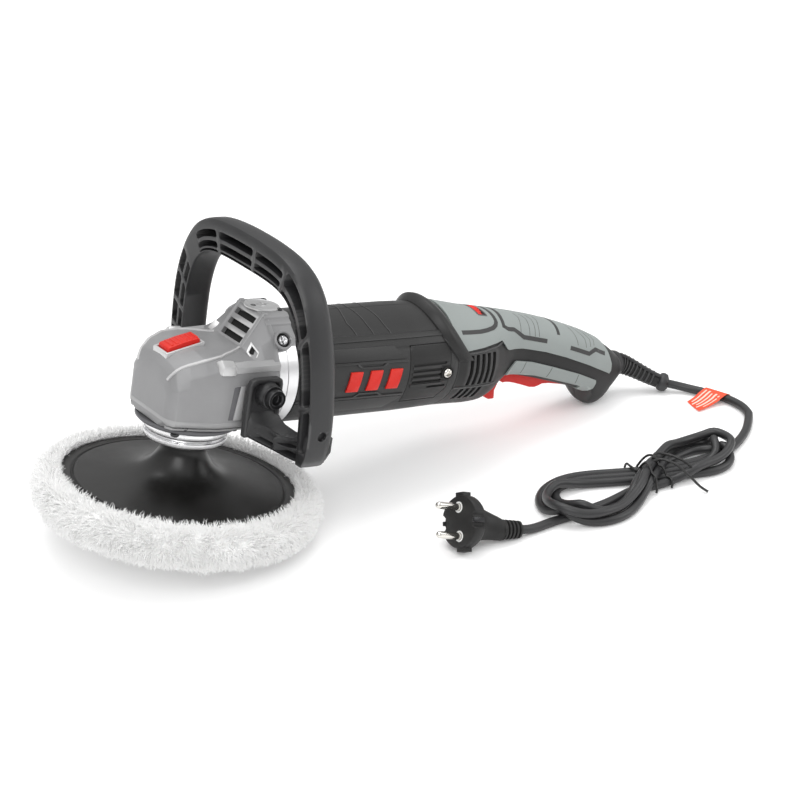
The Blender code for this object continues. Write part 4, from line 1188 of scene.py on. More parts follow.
# ---------------------------------------------------------------- gear head
# x, bottom, wall, wall z, belt, belt z, ledge, ledge z, shoulder, shoulder z, top z
HEAD_ROWS = [
    (-31.0, 14.0, 20.0, 72.0, 17.5, 75.5, 14.5, 78.0, 7.0, 79.0, 79.6),
    (-29.6, 17.5, 24.0, 74.3, 22.0, 78.5, 19.0, 83.5, 9.0, 85.5, 86.5),
    (-27.0, 20.0, 28.3, 75.5, 25.0, 80.5, 21.5, 87.6, 10.5, 90.2, 91.0),
    (-20.0, 26.0, 31.0, 77.8, 29.8, 83.6, 25.4, 91.8, 12.0, 94.4, 95.0),
    (-10.0, 30.0, 34.6, 79.5, 33.4, 87.0, 28.0, 95.0, 14.0, 97.0, 97.5),
    (0.0, 33.0, 37.3, 80.2, 35.2, 90.6, 27.0, 96.0, 15.0, 97.2, 97.6),
    (7.0, 33.5, 37.8, 80.6, 35.8, 91.4, 24.5, 96.6, 14.5, 97.2, 97.6),
    (19.0, 34.0, 38.0, 81.0, 36.2, 92.0, 18.5, 96.6, 14.0, 97.0, 97.3),
    (24.0, 34.0, 38.0, 81.3, 36.4, 92.2, 17.5, 97.0, 14.0, 97.1, 97.3),
    (31.0, 34.0, 38.0, 81.6, 36.6, 92.4, 26.0, 101.5, 14.2, 107.6, 108.0),
    (37.3, 34.0, 38.0, 82.0, 36.7, 92.6, 27.5, 105.5, 14.6, 117.4, 117.9),
    (41.2, 34.0, 38.0, 82.0, 36.8, 92.6, 27.8, 106.5, 15.0, 118.0, 118.5),
]
BOLT = (28.0, 0, 76.2)


def head_ring(row):
    """One cross-section of the gear head."""
    x, low, wall, wall_z, belt, belt_z, ledge, ledge_z, shoulder, shoulder_z, top = row
    half = [(low, 48.5), (wall, 53.0), (wall, wall_z), (belt, belt_z), (ledge, ledge_z), (shoulder, shoulder_z)]
    far = [Vector((x, y, z)) for y, z in half]
    near = [Vector((x, -y, z)) for y, z in reversed(half)]
    return [Vector((x, 0, 48.5))] + far + [Vector((x, 0, top))] + near


def plan_ring(z, inset):
    """The head's outline seen from above, at one height."""
    half = [(row[0] + (inset if i == 0 else 0), row[2] - inset) for i, row in enumerate(HEAD_ROWS)]
    far = [Vector((x, y, z)) for x, y in half]
    near = [Vector((x, -y, z)) for x, y in reversed(half)]
    return far + near


def facing(place, direction):
    """A frame at a place of the tool whose Z points along a direction."""
    return TOOL @ Matrix.Translation(place) @ Vector((
        0, 0, 1
    )).rotation_difference(direction).to_matrix().to_4x4()


def near_rings(*sections):
    """Rings across the tool from (x, outline in (distance outward, height)) on the near side."""
    return rings_mesh([[Vector((x, -y, z)) for y, z in outline] for x, outline in sections])


def make_head():
    """The gear head's casting, vents, crown, trim and screws, the lock button and the case plate."""
    head = tool_object("head_casting", rings_mesh([head_ring(row) for row in HEAD_ROWS]))
    soften(head, 0.8, 3, 14, 20)
    cutters = [
        turned(rod(24.9, 40, 57.5), sides=72, start=0.1),
        prism([(-24.8, 84.2), (-1.2, 89.8), (-1.2, 112), (-24.8, 112)], -6.7, 6.7),
    ]
    slope = Vector((37.3 - 24.0, 117.7 - 97.2)).normalized()
    out = Vector((-slope.y, slope.x))

    def across_slope(half, low, high, reach):
        """A block across each of the three vent slots, from low to high off the slope."""
        blocks = []
        for along in (3.6, 11.2, 18.8):
            middle = Vector((24.0, 97.2)) + slope * along
            corners = [
                middle + slope * a + out * b
                for a, b in ((-half, low), (half, low), (half, high), (-half, high))
            ]
            blocks.append(prism([tuple(c) for c in corners], -reach, reach))
        return blocks

    slots = across_slope(2.1, -5, 3, 11.4)
    for side in (-1, 1):
        slots.append(turned(rod(4.4, *sorted((side * 30, side * 50))), "Y", BOLT, 32))
    boolean(head, joined(cutters + slots))
    soften(head, 0.35, 2, 40, 20)
    finish_piece(head, "cast grey", stands_for="gear_head_housing")
    piece("vent_shadow_plates", joined(across_slope(2.3, -5.2, -3.2, 11.6)), "seam and painted shade black")
    tree = surface_of(head)

    skirt = rings_mesh([plan_ring(z, inset) for z, inset in (
        (48.6, 3.4), (48.9, 2.4), (50.4, 1.5), (50.5, 2.9), (51.4, 2.9), (51.5, 0.9), (53.4, -0.15),
        (55.4, -0.2), (56.0, 0.15), (57.0, 0.3),
    )])
    piece("head_skirt", skirt, "cast grey", cuts=[turned(rod(24.9, 40, 60), sides=72, start=0.1)])

    crown = [
        [Vector((x, y, z)) for y, z in (
            (-30, 98), (-27, 106.3), (-20.6, 111.8), (-20.2, 113.4), (-17.4, 115.4), (-16.9, 117.0),
            (-14.6, 118.5),
            (14.6, 118.5), (16.9, 117.0), (17.4, 115.4), (20.2, 113.4), (20.6, 111.8), (27, 106.3), (30, 98),
        )]
        for x in (37.6, 56.6)
    ]
    piece(
        "head_crown", rings_mesh(crown), "cast grey",
        cuts=[turned(rod(37.2, 30, 60), "X", MOTOR_AXIS, 72)], soft=(0.8, 3, 20)
    )
    bars = []
    for side in (-1, 1):
        bars.append(
            prism(
                [
                    (23.0, 95.6), (24.4, 97.6), (38.2, 119.2), (41.5, 119.2), (41.5, 116.5), (38.6, 116.5),
                    (26.0, 95.6)
                ],
                *sorted((side * 12.6, side * 15.4))
            )
        )
    piece("vent_frame_bars", joined(bars), "cast grey", soft=(0.6, 3))

    cap = rounded(
        [
            (0, 118.2), (11.8, 118.2), (11.8, 119.4), (9.8, 119.9), (9.2, 119.5), (3.6, 119.5), (3.0, 120.1),
            (2.9, 119.0), (0, 119.0)
        ],
        0.4, 2, closed=False
    )
    piece("crown_cap", turned(cap, "Z", (46, 0, 0), 96), "cast bright", smooth=35)
    for index, (x, y) in enumerate(((53.6, -9.5), (53.6, 9.5), (39.4, 0))):
        screw = turned(
            rounded([(0, 118.2), (1.9, 118.2), (1.9, 119.7), (0, 119.7)], 0.4, 2, closed=False), "Z", (x, y, 0),
            32
        )
        piece(
            "crown_screw_%d" % (index + 1), screw, "black steel",
            cuts=[turned(rod(1.0, 118.9, 122), "Z", (x, y, 0), 6)]
        )

    ridge_line = [
        (-30.5, -18.5, 80.5), (-28.6, -21.5, 86.0), (-24.5, -23.6, 90.2), (-18, -26.3, 93.0), (-9, -28.0, 95.4),
        (2, -26.4, 96.2), (12, -21.6, 96.8), (22.5, -15.6, 96.6)
    ]
    pair(laid_strip(tree, ridge_line, 2.2, 0.9, 1.0, 1.0, 0.35), "head_ridge", "cast grey")
    belt = near_rings(
        (7.6, ((30, 84), (37.2, 88.0), (36.9, 92.0), (33.4, 94.2), (28, 93))),
        (41.1, ((30, 84), (38.0, 88.0), (37.9, 92.0), (34.6, 95.0), (28, 93))),
    )
    pair(belt, "head_side_belt", "cast grey", soft=0.3)
    tab = near_rings(
        (-3.0, ((31, 86), (34.6, 88.6), (33.6, 92.8), (30, 94.4), (28, 93))),
        (-1.2, ((31, 85), (37.2, 87.4), (36.6, 93.6), (32.6, 96.4), (28, 94))),
        (7.2, ((31, 85), (38.2, 87.2), (37.4, 92.6), (33.4, 95.6), (28, 94))),
        (9.0, ((31, 86), (37.0, 88.4), (36.6, 91.8), (32.0, 94.0), (28, 93))),
    )
    pair(tab, "head_side_tab", "cast bright", soft=0.3)
    for side, label in SIDES:
        middle = Vector((26.8, side * 25.6, 96.6))
        normal = Vector((-0.49, side * 0.70, 0.51)).normalized()
        spread = (
            Vector((0, -side * 3.3, 4.7)), Vector((3.0, side * 2.1, 0)), Vector((0, side * 3.3, -4.7)),
            Vector((-3.0, -side * 2.1, 0))
        )
        outer = [middle + v * 1.3 for v in spread]
        inner = [middle + v * 0.78 for v in spread]
        rings = [
            [c - normal * 5.0 for c in outer], [c + normal * 0.9 for c in outer],
            [c + normal * 0.9 for c in inner], [c - normal * 5.0 for c in inner],
        ]
        piece(
            "diamond_vent_frame_" + label, rings_mesh(rings, capped=False, looped=True), "cast bright",
            soft=(0.3,)
        )
        piece(
            "diamond_vent_shadow_" + label,
            rings_mesh([[c - normal * 3.0 for c in inner], [c - normal * 0.4 for c in inner]]), "seam and painted shade black",
        )

        axis_place = Vector((45.6, side * 29.6, 105.4))
        lean = Vector((-0.14, side * 0.80, 0.58)).normalized()
        place = facing(axis_place, lean)
        boss = turned(
            rounded(
                [(0, -12), (7.0, -12), (6.4, 1.6), (4.9, 1.6), (4.7, -1.4), (0, -1.4)], 0.5, 3, closed=False
            ),
            sides=64
        )
        piece("head_screw_boss_" + label, boss, "cast grey", place=place, smooth=35)
        screw = turned(
            rounded([(0, -1.4), (3.5, -1.4), (3.5, 0.2), (2.4, 1.3), (0, 1.6)], 0.4, 3, closed=False), sides=48
        )
        screw = tool_object("head_cross_screw_" + label, screw, place, 35)
        for slot in (block((-2.1, -0.5, 0.3), (2.1, 0.5, 4)), block((-0.5, -2.1, 0.31), (0.5, 2.1, 4.02))):
            boolean(screw, slot, "DIFFERENCE", place)
        finish_piece(screw, "steel")
        shade = turned([(3.6, -1.35), (4.75, -1.35), (4.75, -1.1), (3.6, -1.1)], sides=48)
        piece("head_screw_shade_" + label, shade, "seam and painted shade black", place=place)
    # A darker panel standing proud of the wall: painted shade for the recess on the head's side, which is not
    # cut.
    recess = prism([(8.0, 79.2), (15.6, 79.8), (15.6, 57.0), (6.2, 57.0)], -38.15, -36.5)
    pair(recess, "head_side_recess_shade", "dark casting", soft=0.3)
    rib = prism([(12.4, 79.7), (15.6, 79.8), (15.6, 57.0), (9.4, 57.0)], -38.9, -36.5)
    pair(rib, "head_side_rib", "cast grey", soft=0.5)
    for side, label in SIDES:
        place = facing((-19.0, side * 28.6, 50.9), Vector((-0.5, side * 0.86, 0)))
        screw = turned(rounded([(0, -2), (1.9, -2), (1.9, 0.9), (0, 0.9)], 0.4, 3, closed=False), sides=32)
        piece(
            "skirt_screw_" + label, screw, "black steel", place=place, smooth=35,
            cuts=[turned(rod(1.1, 0.2, 3), sides=6)]
        )

    cap_outline = [
        (-24.4, 88.4), (-1.6, 94.0), (-1.6, 101.2), (-2.6, 101.9), (-13, 99.8), (-23.4, 96.8), (-24.4, 95.8)
    ]
    piece(
        "lock_button_cap", prism(cap_outline, -6.2, 6.2), "red", "spindle_lock_button",
        body="lock_button", soft=(0.6, 3)
    )
    ribs = []
    for i in range(6):
        x = -21.6 + 3.5 * i
        z = 97.0 + (x + 23.4) * 4.9 / 20.8
        ribs.append(
            prism([(x, z - 1), (x + 1.6, z - 0.6), (x + 1.6, z + 0.95), (x + 0.2, z + 0.75)], -5.0, 5.0)
        )
    piece("lock_button_ribs", joined(ribs), "red", body="lock_button", soft=(0.3,))
    rim = []
    for offset in (0.0, 1.5):
        half = 6.9 + offset
        x0, x1 = -25.2 - offset, -0.9 + offset
        ring = [Vector((x, y, 0)) for x, y in ((x0, -half), (x1, -half), (x1, half), (x0, half))]
        rim.append([Vector((p.x, p.y, 92.3 + (p.x + 25.2) * 0.23)) for p in ring])
    low = [[p - Vector((0, 0, 4)) for p in ring] for ring in rim]
    high = [[p + Vector((0, 0, 1.9)) for p in ring] for ring in rim]
    piece(
        "lock_button_surround", rings_mesh([low[0], high[0], high[1], low[1]], capped=False, looped=True),
        "cast bright", soft=(0.4,)
    )

    plate = [
        (13.3, 41.3), (17, 41.3), (17, 53), (34, 53), (34, 41.3), (37.4, 41.3), (38.0, 41.9), (38.0, 47.6),
        (37.6, 47.9), (37.6, 48.4), (38.0, 48.7), (38.0, 56.1), (37.4, 56.7), (13.3, 56.7)
    ]
    piece(
        "gear_case_band", turned(plate, "X", MOTOR_AXIS, 160), "aluminium band",
        "gear_case_plate", smooth=35
    )


# ---------------------------------------------------------------- D-handle
BOW_OUTER = [
    (79, 38), (83.5, 46), (86.5, 60), (87.2, 75), (86.4, 91), (84.4, 108), (81.4, 121), (76.6, 135),
    (70.5, 147), (62, 156.5), (52, 162.5), (38, 166.8), (18, 168.8), (0, 169.2),
]
BOW_INNER = [
    (71.8, 38), (72.2, 60), (72, 75), (70.2, 94), (67, 112), (60.5, 128.5), (52, 138), (41, 143),
    (25, 145), (0, 145.4),
]


def bow_front(z):
    """How far back the bow's front face is at a height."""
    return 33.7 - 0.092 * (z - 80)


def bow_lines(count):
    """Even points along the outer and the inner edge of the bow, near foot to far foot."""
    outer = [(-y, z) for y, z in BOW_OUTER] + [(y, z) for y, z in BOW_OUTER[-2::-1]]
    inner = [(-y, z) for y, z in BOW_INNER] + [(y, z) for y, z in BOW_INNER[-2::-1]]
    return spline(outer, count), spline(inner, count)


def make_bow():
    """The bow of the D-handle with rows of open pockets between its ribs."""
    count = 121
    outer, inner = bow_lines(count)
    rings = []
    for (oy, oz), (iy, iz) in zip(outer, inner):
        across = Vector((0, oy - iy, oz - iz))
        wide = across.length
        unit = across.normalized()
        bar = max(0.0, min(1.0, (iz - 112) / 24))
        flat = 0.90 + (0.72 - 0.90) * bar
        ring = []
        for x, u in (
            (0, 0.9), (0, wide * flat), (0.5, wide * (0.4 * flat + 0.6 * 0.97)), (1.8, wide * 0.955),
            (4.2, wide * 0.99), (7.5, wide), (12.5, wide), (16.0, wide - 0.9),
            (18.8, wide - 3.0), (20.2, wide - 6.0), (20.5, wide - 8.2), (20.5, 3.2), (19.7, 1.2), (18.0, 0.2),
            (15.5, 0), (1.6, 0), (0.4, 0.3),
        ):
            place = Vector((0, iy, iz)) + unit * u
            ring.append(Vector((bow_front(place.z) + x, place.y, place.z)))
        rings.append(ring)
    bow = tool_object("d_handle_bow", rings_mesh(rings), smooth=50)
    middles = [Vector(o).lerp(Vector(i), 0.5) for o, i in zip(outer, inner)]

    def at_rib(y, z):
        return min(range(count), key=lambda k: (middles[k] - Vector((y, z))).length)

    near_foot, rib_f, rib_d, rib_c, rib_b, rib_a, corner, leg_top, rib_1, rib_2, rib_3, far_foot = [
        at_rib(*place) for place in (
            (-77, 46), (-78, 78), (-73, 120), (-44, 147), (-10.5, 153), (31.5, 152), (64.5, 150.5), (72.5, 135),
            (75.7, 115.3), (79, 96.4), (79.5, 77), (77, 46),
        )
    ]
    two, three = ((0.05, 0.19), (0.36, 0.84)), ((0.035, 0.10), (0.155, 0.335), (0.445, 0.665))
    leg = ((0.08, 0.34), (0.48, 0.84))
    cells = [
        (near_foot, rib_f, two), (rib_f, rib_d, two), (rib_d, rib_c, two), (rib_c, rib_b, three),
        (rib_b, rib_a, three), (rib_a, corner, three),
        (leg_top, rib_1, leg), (rib_1, rib_2, leg), (rib_2, rib_3, leg), (rib_3, far_foot, leg),
    ]
    pockets = []
    for first, last, rows in cells:
        start, end = first + 0.55, last - 0.55
        for low, high in rows:
            steps = max(6, int((end - start) * 2))
            inside, outside = [], []
            for k in range(steps + 1):
                share = 0.5 - 0.5 * math.cos(math.pi * k / steps) if steps < 10 else k / steps
                at = start + (end - start) * share
                index = min(count - 2, int(at))
                part = at - index
                lower_edge, upper_edge = (
                    Vector(edge[index]).lerp(Vector(edge[index + 1]), part) for edge in (inner, outer)
                )
                pinch = 0.22 * (high - low) if k in (0, steps) else 0.0
                inside.append(lower_edge.lerp(upper_edge, low + pinch))
                outside.append(lower_edge.lerp(upper_edge, high - pinch))
            outline = [tuple(p) for p in outside + inside[::-1]]
            cutter = prism(outline, -3.0, 13.0, "X")
            for vert in cutter.verts:
                vert.co.x += bow_front(vert.co.z)
            pockets.append(cutter)
    for side in (-1, 1):
        pockets.append(turned(rod(3.3, *sorted((side * 79.5, side * 96))), "Y", (45.0, 0, 61.4), 36))
    boolean(bow, joined(pockets))
    soften(bow, 0.4, 2, 40)
    finish_piece(bow, "handle black", stands_for="d_handle")
    for side, label in SIDES:
        make_foot(side, label)


def make_foot(side, label):
    """The foot turns in from the bottom of the leg and rises as a plate against the gear head."""
    rings = []
    stations = [
        (82.4, 38.8, 56.6, 46.0, 60.0), (78.8, 38.6, 56.4, 39.6, 60.6), (74.0, 38.0, 55.2, 38.6, 58.4),
        (66.0, 33.6, 52.2, 39.6, 53.4), (58.0, 27.6, 47.8, 42.2, 53.6),
        (51.0, 20.6, 43.2, 45.2, 56.6), (47.0, 16.4, 40.6, 47.0, 60.5), (44.4, 14.6, 39.2, 48.0, 64.0),
        (41.6, 14.2, 39.0, 48.2, 64.4),
    ]
    for y, x0, x1, z0, z1 in stations:
        corner = 2.2
        rings.append([Vector((x, side * y, z)) for x, z in (
            (x0, z0 + corner), (x0 + corner, z0), (x1 - corner, z0), (x1, z0 + corner), (x1, z1 - corner),
            (x1 - corner, z1), (x0 + corner, z1), (x0, z1 - corner),
        )])
    foot = tool_object("d_handle_foot_" + label, rings_mesh(rings), smooth=40)
    pockets = []
    for low, high in ((0.14, 0.44), (0.56, 0.86)):
        for start, end in ((46.2, 56.6), (58.2, 70.8)):
            face = []
            for y in (start, (start + end) / 2, end):
                for a, b in zip(stations, stations[1:]):
                    if b[0] <= y <= a[0]:
                        share = (a[0] - y) / (a[0] - b[0])
                        x0, z0, z1 = (a[k] + (b[k] - a[k]) * share for k in (1, 3, 4))
                        face.append((x0, y, z0 + (z1 - z0) * low, z0 + (z1 - z0) * high))
            sections = []
            for x0, y, zl, zh in face:
                sections.append([
                    Vector((x0 - 4, side * y, zl)), Vector((x0 + 10, side * (y + 5), zl)),
                    Vector((x0 + 10, side * (y + 5), zh)), Vector((x0 - 4, side * y, zh))
                ])
            pockets.append(rings_mesh(sections))
    boolean(foot, joined(pockets))
    soften(foot, 0.5, 2, 38)
    finish_piece(foot, "handle black")
    outline = [(14, 47.5), (39, 47.5), (39, 82), (38.2, 85.2), (36, 86.8), (19, 86.8), (15.4, 85.2), (14, 82)]
    lug = tool_object("d_handle_lug_" + label, prism(outline, *sorted((side * 41.5, side * 46.2))))
    inner = [(17.2, 58), (35.8, 58), (35.8, 81.5), (34.4, 83.6), (20.2, 83.6), (17.2, 81.5)]
    boolean(lug, prism(inner, *sorted((side * 44.2, side * 50))))
    soften(lug, 0.9, 3)
    finish_piece(lug, "handle black")
    boss = rounded([(0, 42), (8.6, 42), (8.2, 49.2), (7.0, 51.6), (5.0, 52.0), (0, 52.0)], 0.7, 3, closed=False)
    piece(
        "d_handle_boss_" + label, turned_out(boss, side, BOLT, 72), "handle black", smooth=40
    )
    bolt = rounded(
        [
            (0, 32), (4.0, 32), (4.0, 51.6), (6.3, 51.6), (6.3, 57.5), (4.6, 57.5), (3.6, 57.0), (3.2, 54.0),
            (0, 54.0)
        ],
        0.5, 3, closed=False
    )
    piece(
        "d_handle_socket_bolt_" + label, turned_out(bolt, side, BOLT, 72), "black steel",
        "d_handle_bolt_" + label, smooth=40
    )
    washer = turned_out(rounded([(6.0, 51.8), (7.6, 51.8), (7.6, 52.9), (6.0, 52.9)], 0.3), side, BOLT, 64)
    piece("d_handle_washer_" + label, washer, "black steel", smooth=40)

# ---------------------------------------------------------------- motor housing
MOTOR_R = 37.3


def housing_profile(outset):
    """The round wall's profile at an offset, front to back."""
    r = MOTOR_R + outset
    return [(r - 0.5, 57.0), (r, 57.6), (r, 150), (r - 0.9, 185.0)]


def housing_shell(low, high):
    """The space between two offsets from the round wall."""
    outer, inner = housing_profile(high), housing_profile(low)
    return turned(outer + inner[::-1], "X", MOTOR_AXIS, 160)


def near_prism(outline, extra=0.0):
    """A cutter through the near half of the round wall; extra reach keeps joined cutters' ends apart."""
    return prism(outline, -60 - extra, -4)


def wall_patch(cutter, low, high):
    """The part of the round wall inside a cutter, between two offsets from its surface."""
    return boolean(tool_object("patch", cutter), housing_shell(low, high), "INTERSECT")


def make_motor_housing():
    """The round wall with its raised panels, bars, grooves and slotted brush covers."""
    inner = MOTOR_R - 3.2
    shell = housing_profile(0) + [
        (12.2, 185.0), (11.4, 184.2), (11.4, 180), (inner - 0.9, 180), (inner, 150), (inner, 57.0)
    ]
    housing = tool_object("motor_tube", turned(shell, "X", MOTOR_AXIS, 160), smooth=35)
    recess = near_prism([(145.7, 55.0), (146.6, 95.5), (181.6, 95.5), (181.6, 63.6), (176, 55.0)])
    recess = wall_patch(recess, -1.5, 3)
    cut(housing, [recess, mirrored(recess, "recess_far")], smooth=35)
    finish_piece(housing, "shell black", stands_for="motor_housing")
    tree = surface_of(housing)

    for name, high, soft, outline in (
        ("ridge", 0.75, 0.35, [(57.3, 103.6), (187, 102.6), (187, 100.0), (57.3, 100.2)]),
        ("upper_panel", 0.5, 0.3, [(57.3, 96.9), (133.5, 96.4), (142.2, 88.3), (57.3, 89.1)]),
        ("lower_panel", 0.5, 0.3, [(57.3, 62.2), (145.0, 61.0), (133.8, 51.2), (57.3, 52.4)]),
        ("panel_rim_upper", 0.9, 0.3, [(57.3, 88.9), (144.6, 87.5), (144.6, 86.1), (57.3, 87.4)]),
        ("panel_rim_lower", 0.9, 0.3, [(57.3, 64.4), (144.6, 63.0), (144.6, 61.6), (57.3, 62.9)]),
    ):
        pair(
            wall_patch(near_prism(outline), -1, high), "housing_" + name, "charcoal",
            soft=soft
        )
    notch = joined([
        near_prism(ribbon([(103.5, 86.6), (107.0, 84.4), (123.5, 84.1), (127.5, 86.2)], 1.2)),
        prism(ribbon([(103.8, 63.6), (107.4, 65.9), (122.0, 65.6), (126.2, 63.3)], 1.2), -60.1, -4.1),
    ])
    pair(wall_patch(notch, -1, 0.8), "housing_panel_notches", "charcoal")

    stripes = []
    for i in range(3):
        x = 95.5 + 16.2 * i
        stripes.append(near_prism([(x, 68.2), (x + 9.6, 68.0), (x + 12.0, 81.8), (x + 2.4, 82.0)], 0.1 * i))
    pair(wall_patch(joined(stripes), -1, 1.1), "housing_red_bars", "red", soft=0.35)

    arcs = [
        [
            (106.5, 1.0, 113.4), (103.6, -9.5, 112.4), (102.4, -17.7, 108.9), (104.2, -21.5, 106.8),
            (106.2, -26.0, 102.9), (106.9, -27.4, 101.4)
        ],
        [
            (114.0, 1.1, 113.4), (115.4, -9.0, 112.4), (116.4, -15.0, 110.4), (117.6, -20.3, 107.4),
            (119.4, -24.5, 104.4), (120.4, -27.6, 101.2)
        ],
        [
            (126.4, 0.1, 113.5), (128.2, -9.0, 112.4), (129.6, -14.8, 110.4), (131.0, -20.7, 107.1),
            (133.2, -24.8, 104.0), (134.2, -27.6, 101.2)
        ],
    ]
    for index, arc in enumerate(arcs):
        groove = laid_strip(tree, arc, 0.55, 0.06, 0.5, 1.0)
        pair(groove, "housing_arc_groove_%d" % (index + 1), "seam and painted shade black")
        light = [(x + 0.5, y, z) for x, y, z in arc]
        lip = laid_strip(tree, light, 0.4, 0.22, 0.5, 1.0)
        pair(lip, "housing_arc_lip_%d" % (index + 1), "charcoal")
    long_seam = [(x, -1.2, 113.5) for x in (57.5, 90, 130, 165)]
    piece(
        "housing_top_seam", laid_strip(tree, long_seam, 0.4, 0.05, 0.4, 3), "seam and painted shade black"
    )

    outline = [(146.0, 55.6), (147.0, 94.0), (148.2, 95.1), (181.2, 95.1), (181.2, 63.9), (175.6, 55.6)]
    cover = wall_patch(near_prism(outline), -1.45, 0.05)
    slots = []
    for i, (z, x0, x1) in enumerate((
        (82.6, 149.4, 177.5), (78.6, 149.6, 173.6), (74.8, 149.6, 173.8), (70.6, 149.8, 174.2),
        (66.0, 164.0, 179.0),
    )):
        slots.append(
            near_prism([(x0, z - 0.8), (x1, z - 0.8), (x1 + 0.6, z), (x1, z + 0.8), (x0, z + 0.8)], 0.2 * i)
        )
    cut(cover, [wall_patch(joined(slots), -1.0, 2)], smooth=35)
    pair(cover, "brush_cover_panel", "shell black", "brush_cover", 0.25)
    ribs = []
    for i, z in enumerate((80.6, 76.7, 72.7)):
        ribs.append(
            near_prism([(149.0, z - 0.75), (172.8, z - 0.75), (172.8, z + 0.75), (149.0, z + 0.75)], 0.2 * i)
        )
    ribs.append(near_prism([(149.0, 67.2), (175.5, 67.2), (175.5, 68.8), (149.0, 68.8)], 1))
    pair(wall_patch(joined(ribs), -1, 0.6), "brush_cover_ribs", "charcoal", soft=0.25)
    for side, label in SIDES:
        centre = (178.6, 0, 75.4)
        # A near-black cup round the screw: painted shade inside the screw's well.
        well = rounded(
            [(0, 35.4), (4.9, 35.4), (4.9, 37.7), (3.9, 37.9), (3.7, 36.4), (0, 36.4)], 0.3, 2, closed=False
        )
        piece(
            "cover_screw_well_shade_" + label, turned_out(well, side, centre, 48), "seam and painted shade black",
            smooth=40
        )
        screw = rounded([(0, 35.8), (3.3, 35.8), (3.3, 38.0), (2.4, 38.9), (0, 39.1)], 0.4, 2, closed=False)
        screw = tool_object("cover_cross_screw_" + label, turned_out(screw, side, centre, 48), smooth=40)
        spans = sorted((side * 38.0, side * 41))
        for slot in (
            block((178.6 - 1.9, spans[0], 75.0), (178.6 + 1.9, spans[1], 75.8)),
            block((178.2, spans[0] - 0.01, 73.5), (179.0, spans[1] + 0.01, 77.3)),
        ):
            boolean(screw, slot)
        finish_piece(screw, "nickel", stands_for="brush_cover_screw_" + label)
    make_visor()


def make_visor():
    """The lip that stands over the back of the motor housing."""
    rings = []
    steps = 48
    for i in range(steps + 1):
        share = 2 * i / steps - 1
        angle = math.radians(80 * share)
        sweep = 17 * share * share + 3.2 * abs(share) ** 5
        rise = 4.2 - 3.2 * share * share
        front = 168.6 + sweep
        base = MOTOR_R - 0.6
        section = [
            (front - 0.2, base), (front + 11, base), (front + 11.5, MOTOR_R + 0.5 + rise * 0.55),
            (front + 7.5, MOTOR_R + 0.7 + rise * 0.97),
            (front + 4.6, MOTOR_R + 0.9 + rise), (front + 3.2, MOTOR_R + 0.5 + rise * 0.86),
            (front, MOTOR_R + 0.2),
        ]
        rings.append([Vector((x, r * math.sin(angle), MOTOR_Z + r * math.cos(angle))) for x, r in section])
    piece(
        "visor_hood", rings_mesh(rings), "charcoal", "visor_lip", smooth=28,
        soft=(0.4, 2, 22, 24)
    )


# ---------------------------------------------------------------- rear handle
# x, top, bottom, half width, squareness above, squareness below
SHELL_ROWS = [
    (185.2, 112.5, 39.9, 36.3, 2.0, 2.0), (200, 109.5, 39.6, 35.2, 2.0, 2.0),
    (214, 106.8, 39.4, 33.6, 2.0, 2.1),
    (225, 105.0, 40.6, 31.4, 2.1, 2.3), (233, 103.7, 45.0, 28.0, 2.2, 2.6), (241, 102.5, 52.5, 23.6, 2.3, 3.2),
    (249, 101.3, 58.8, 20.8, 2.4, 3.8), (262, 99.0, 57.5, 19.4, 2.4, 4.2), (280, 95.3, 53.5, 19.0, 2.4, 4.2),
    (300, 90.2, 48.5, 19.0, 2.4, 4.2), (316, 85.4, 44.0, 18.8, 2.4, 4.0), (327, 81.8, 41.0, 18.4, 2.4, 3.4),
    (333, 79.5, 37.0, 18.0, 2.4, 2.8), (339, 77.0, 30.0, 17.4, 2.4, 2.4), (345.5, 74.0, 30.0, 16.6, 2.4, 2.3),
    (352, 70.4, 32.0, 15.2, 2.4, 2.3), (356, 67.8, 35.5, 14.0, 2.3, 2.3), (361, 64.6, 40.5, 12.2, 2.2, 2.2),
    (366, 61.0, 46.0, 9.6, 2.2, 2.2),
]
GRIP_OUTLINE = [
    (186.6, 130), (186.6, 100), (188.6, 93.5), (190, 88.3), (212, 89), (232, 91), (235.2, 87.5), (238, 84.4),
    (241, 82.8), (256, 81.6), (279, 76.9),
    (299, 71.4), (323, 63.4), (346.5, 54.3), (348.2, 56.0), (348.7, 61), (345.5, 70), (337.5, 82), (332, 130),
]
STRIP_OUTLINE = [
    (244, 62.9), (251.0, 71.6), (252.6, 72.5), (269, 69.9), (292, 63.8), (315, 57.2), (333.2, 50.6),
    (333.9, 48.4), (332.6, 43.6), (330.6, 41.6),
    (327, 40.9), (319.6, 43.3), (320.4, 46.5), (311, 49.3), (294, 53.8), (273.6, 59.0), (256, 61.4),
]
HEEL_X, HEEL_Z, HEEL_R = 343.5, 36.9, 11.0
LOFT_SIDES = 72
ROW_STEP = 2.6     # between the loft's cross-sections
SKIN = 1.5         # how far the soft grip stands off the shell
VENT_PITCH = 5.5


def dense_rows():
    """The shell's rows at an even step, smoothed a little."""
    xs = [row[0] for row in SHELL_ROWS]
    table = np.array(SHELL_ROWS)
    count = int((xs[-1] - xs[0]) / ROW_STEP)
    made = []
    for x in np.linspace(xs[0], xs[-1], count):
        row = [float(np.interp(x, xs, table[:, k])) for k in range(table.shape[1])]
        made.append(row)
    smooth = [list(row) for row in made]
    for i in range(1, len(made) - 1):
        for k in range(1, 6):
            smooth[i][k] = (made[i - 1][k] + 2 * made[i][k] + made[i + 1][k]) / 4
    return smooth


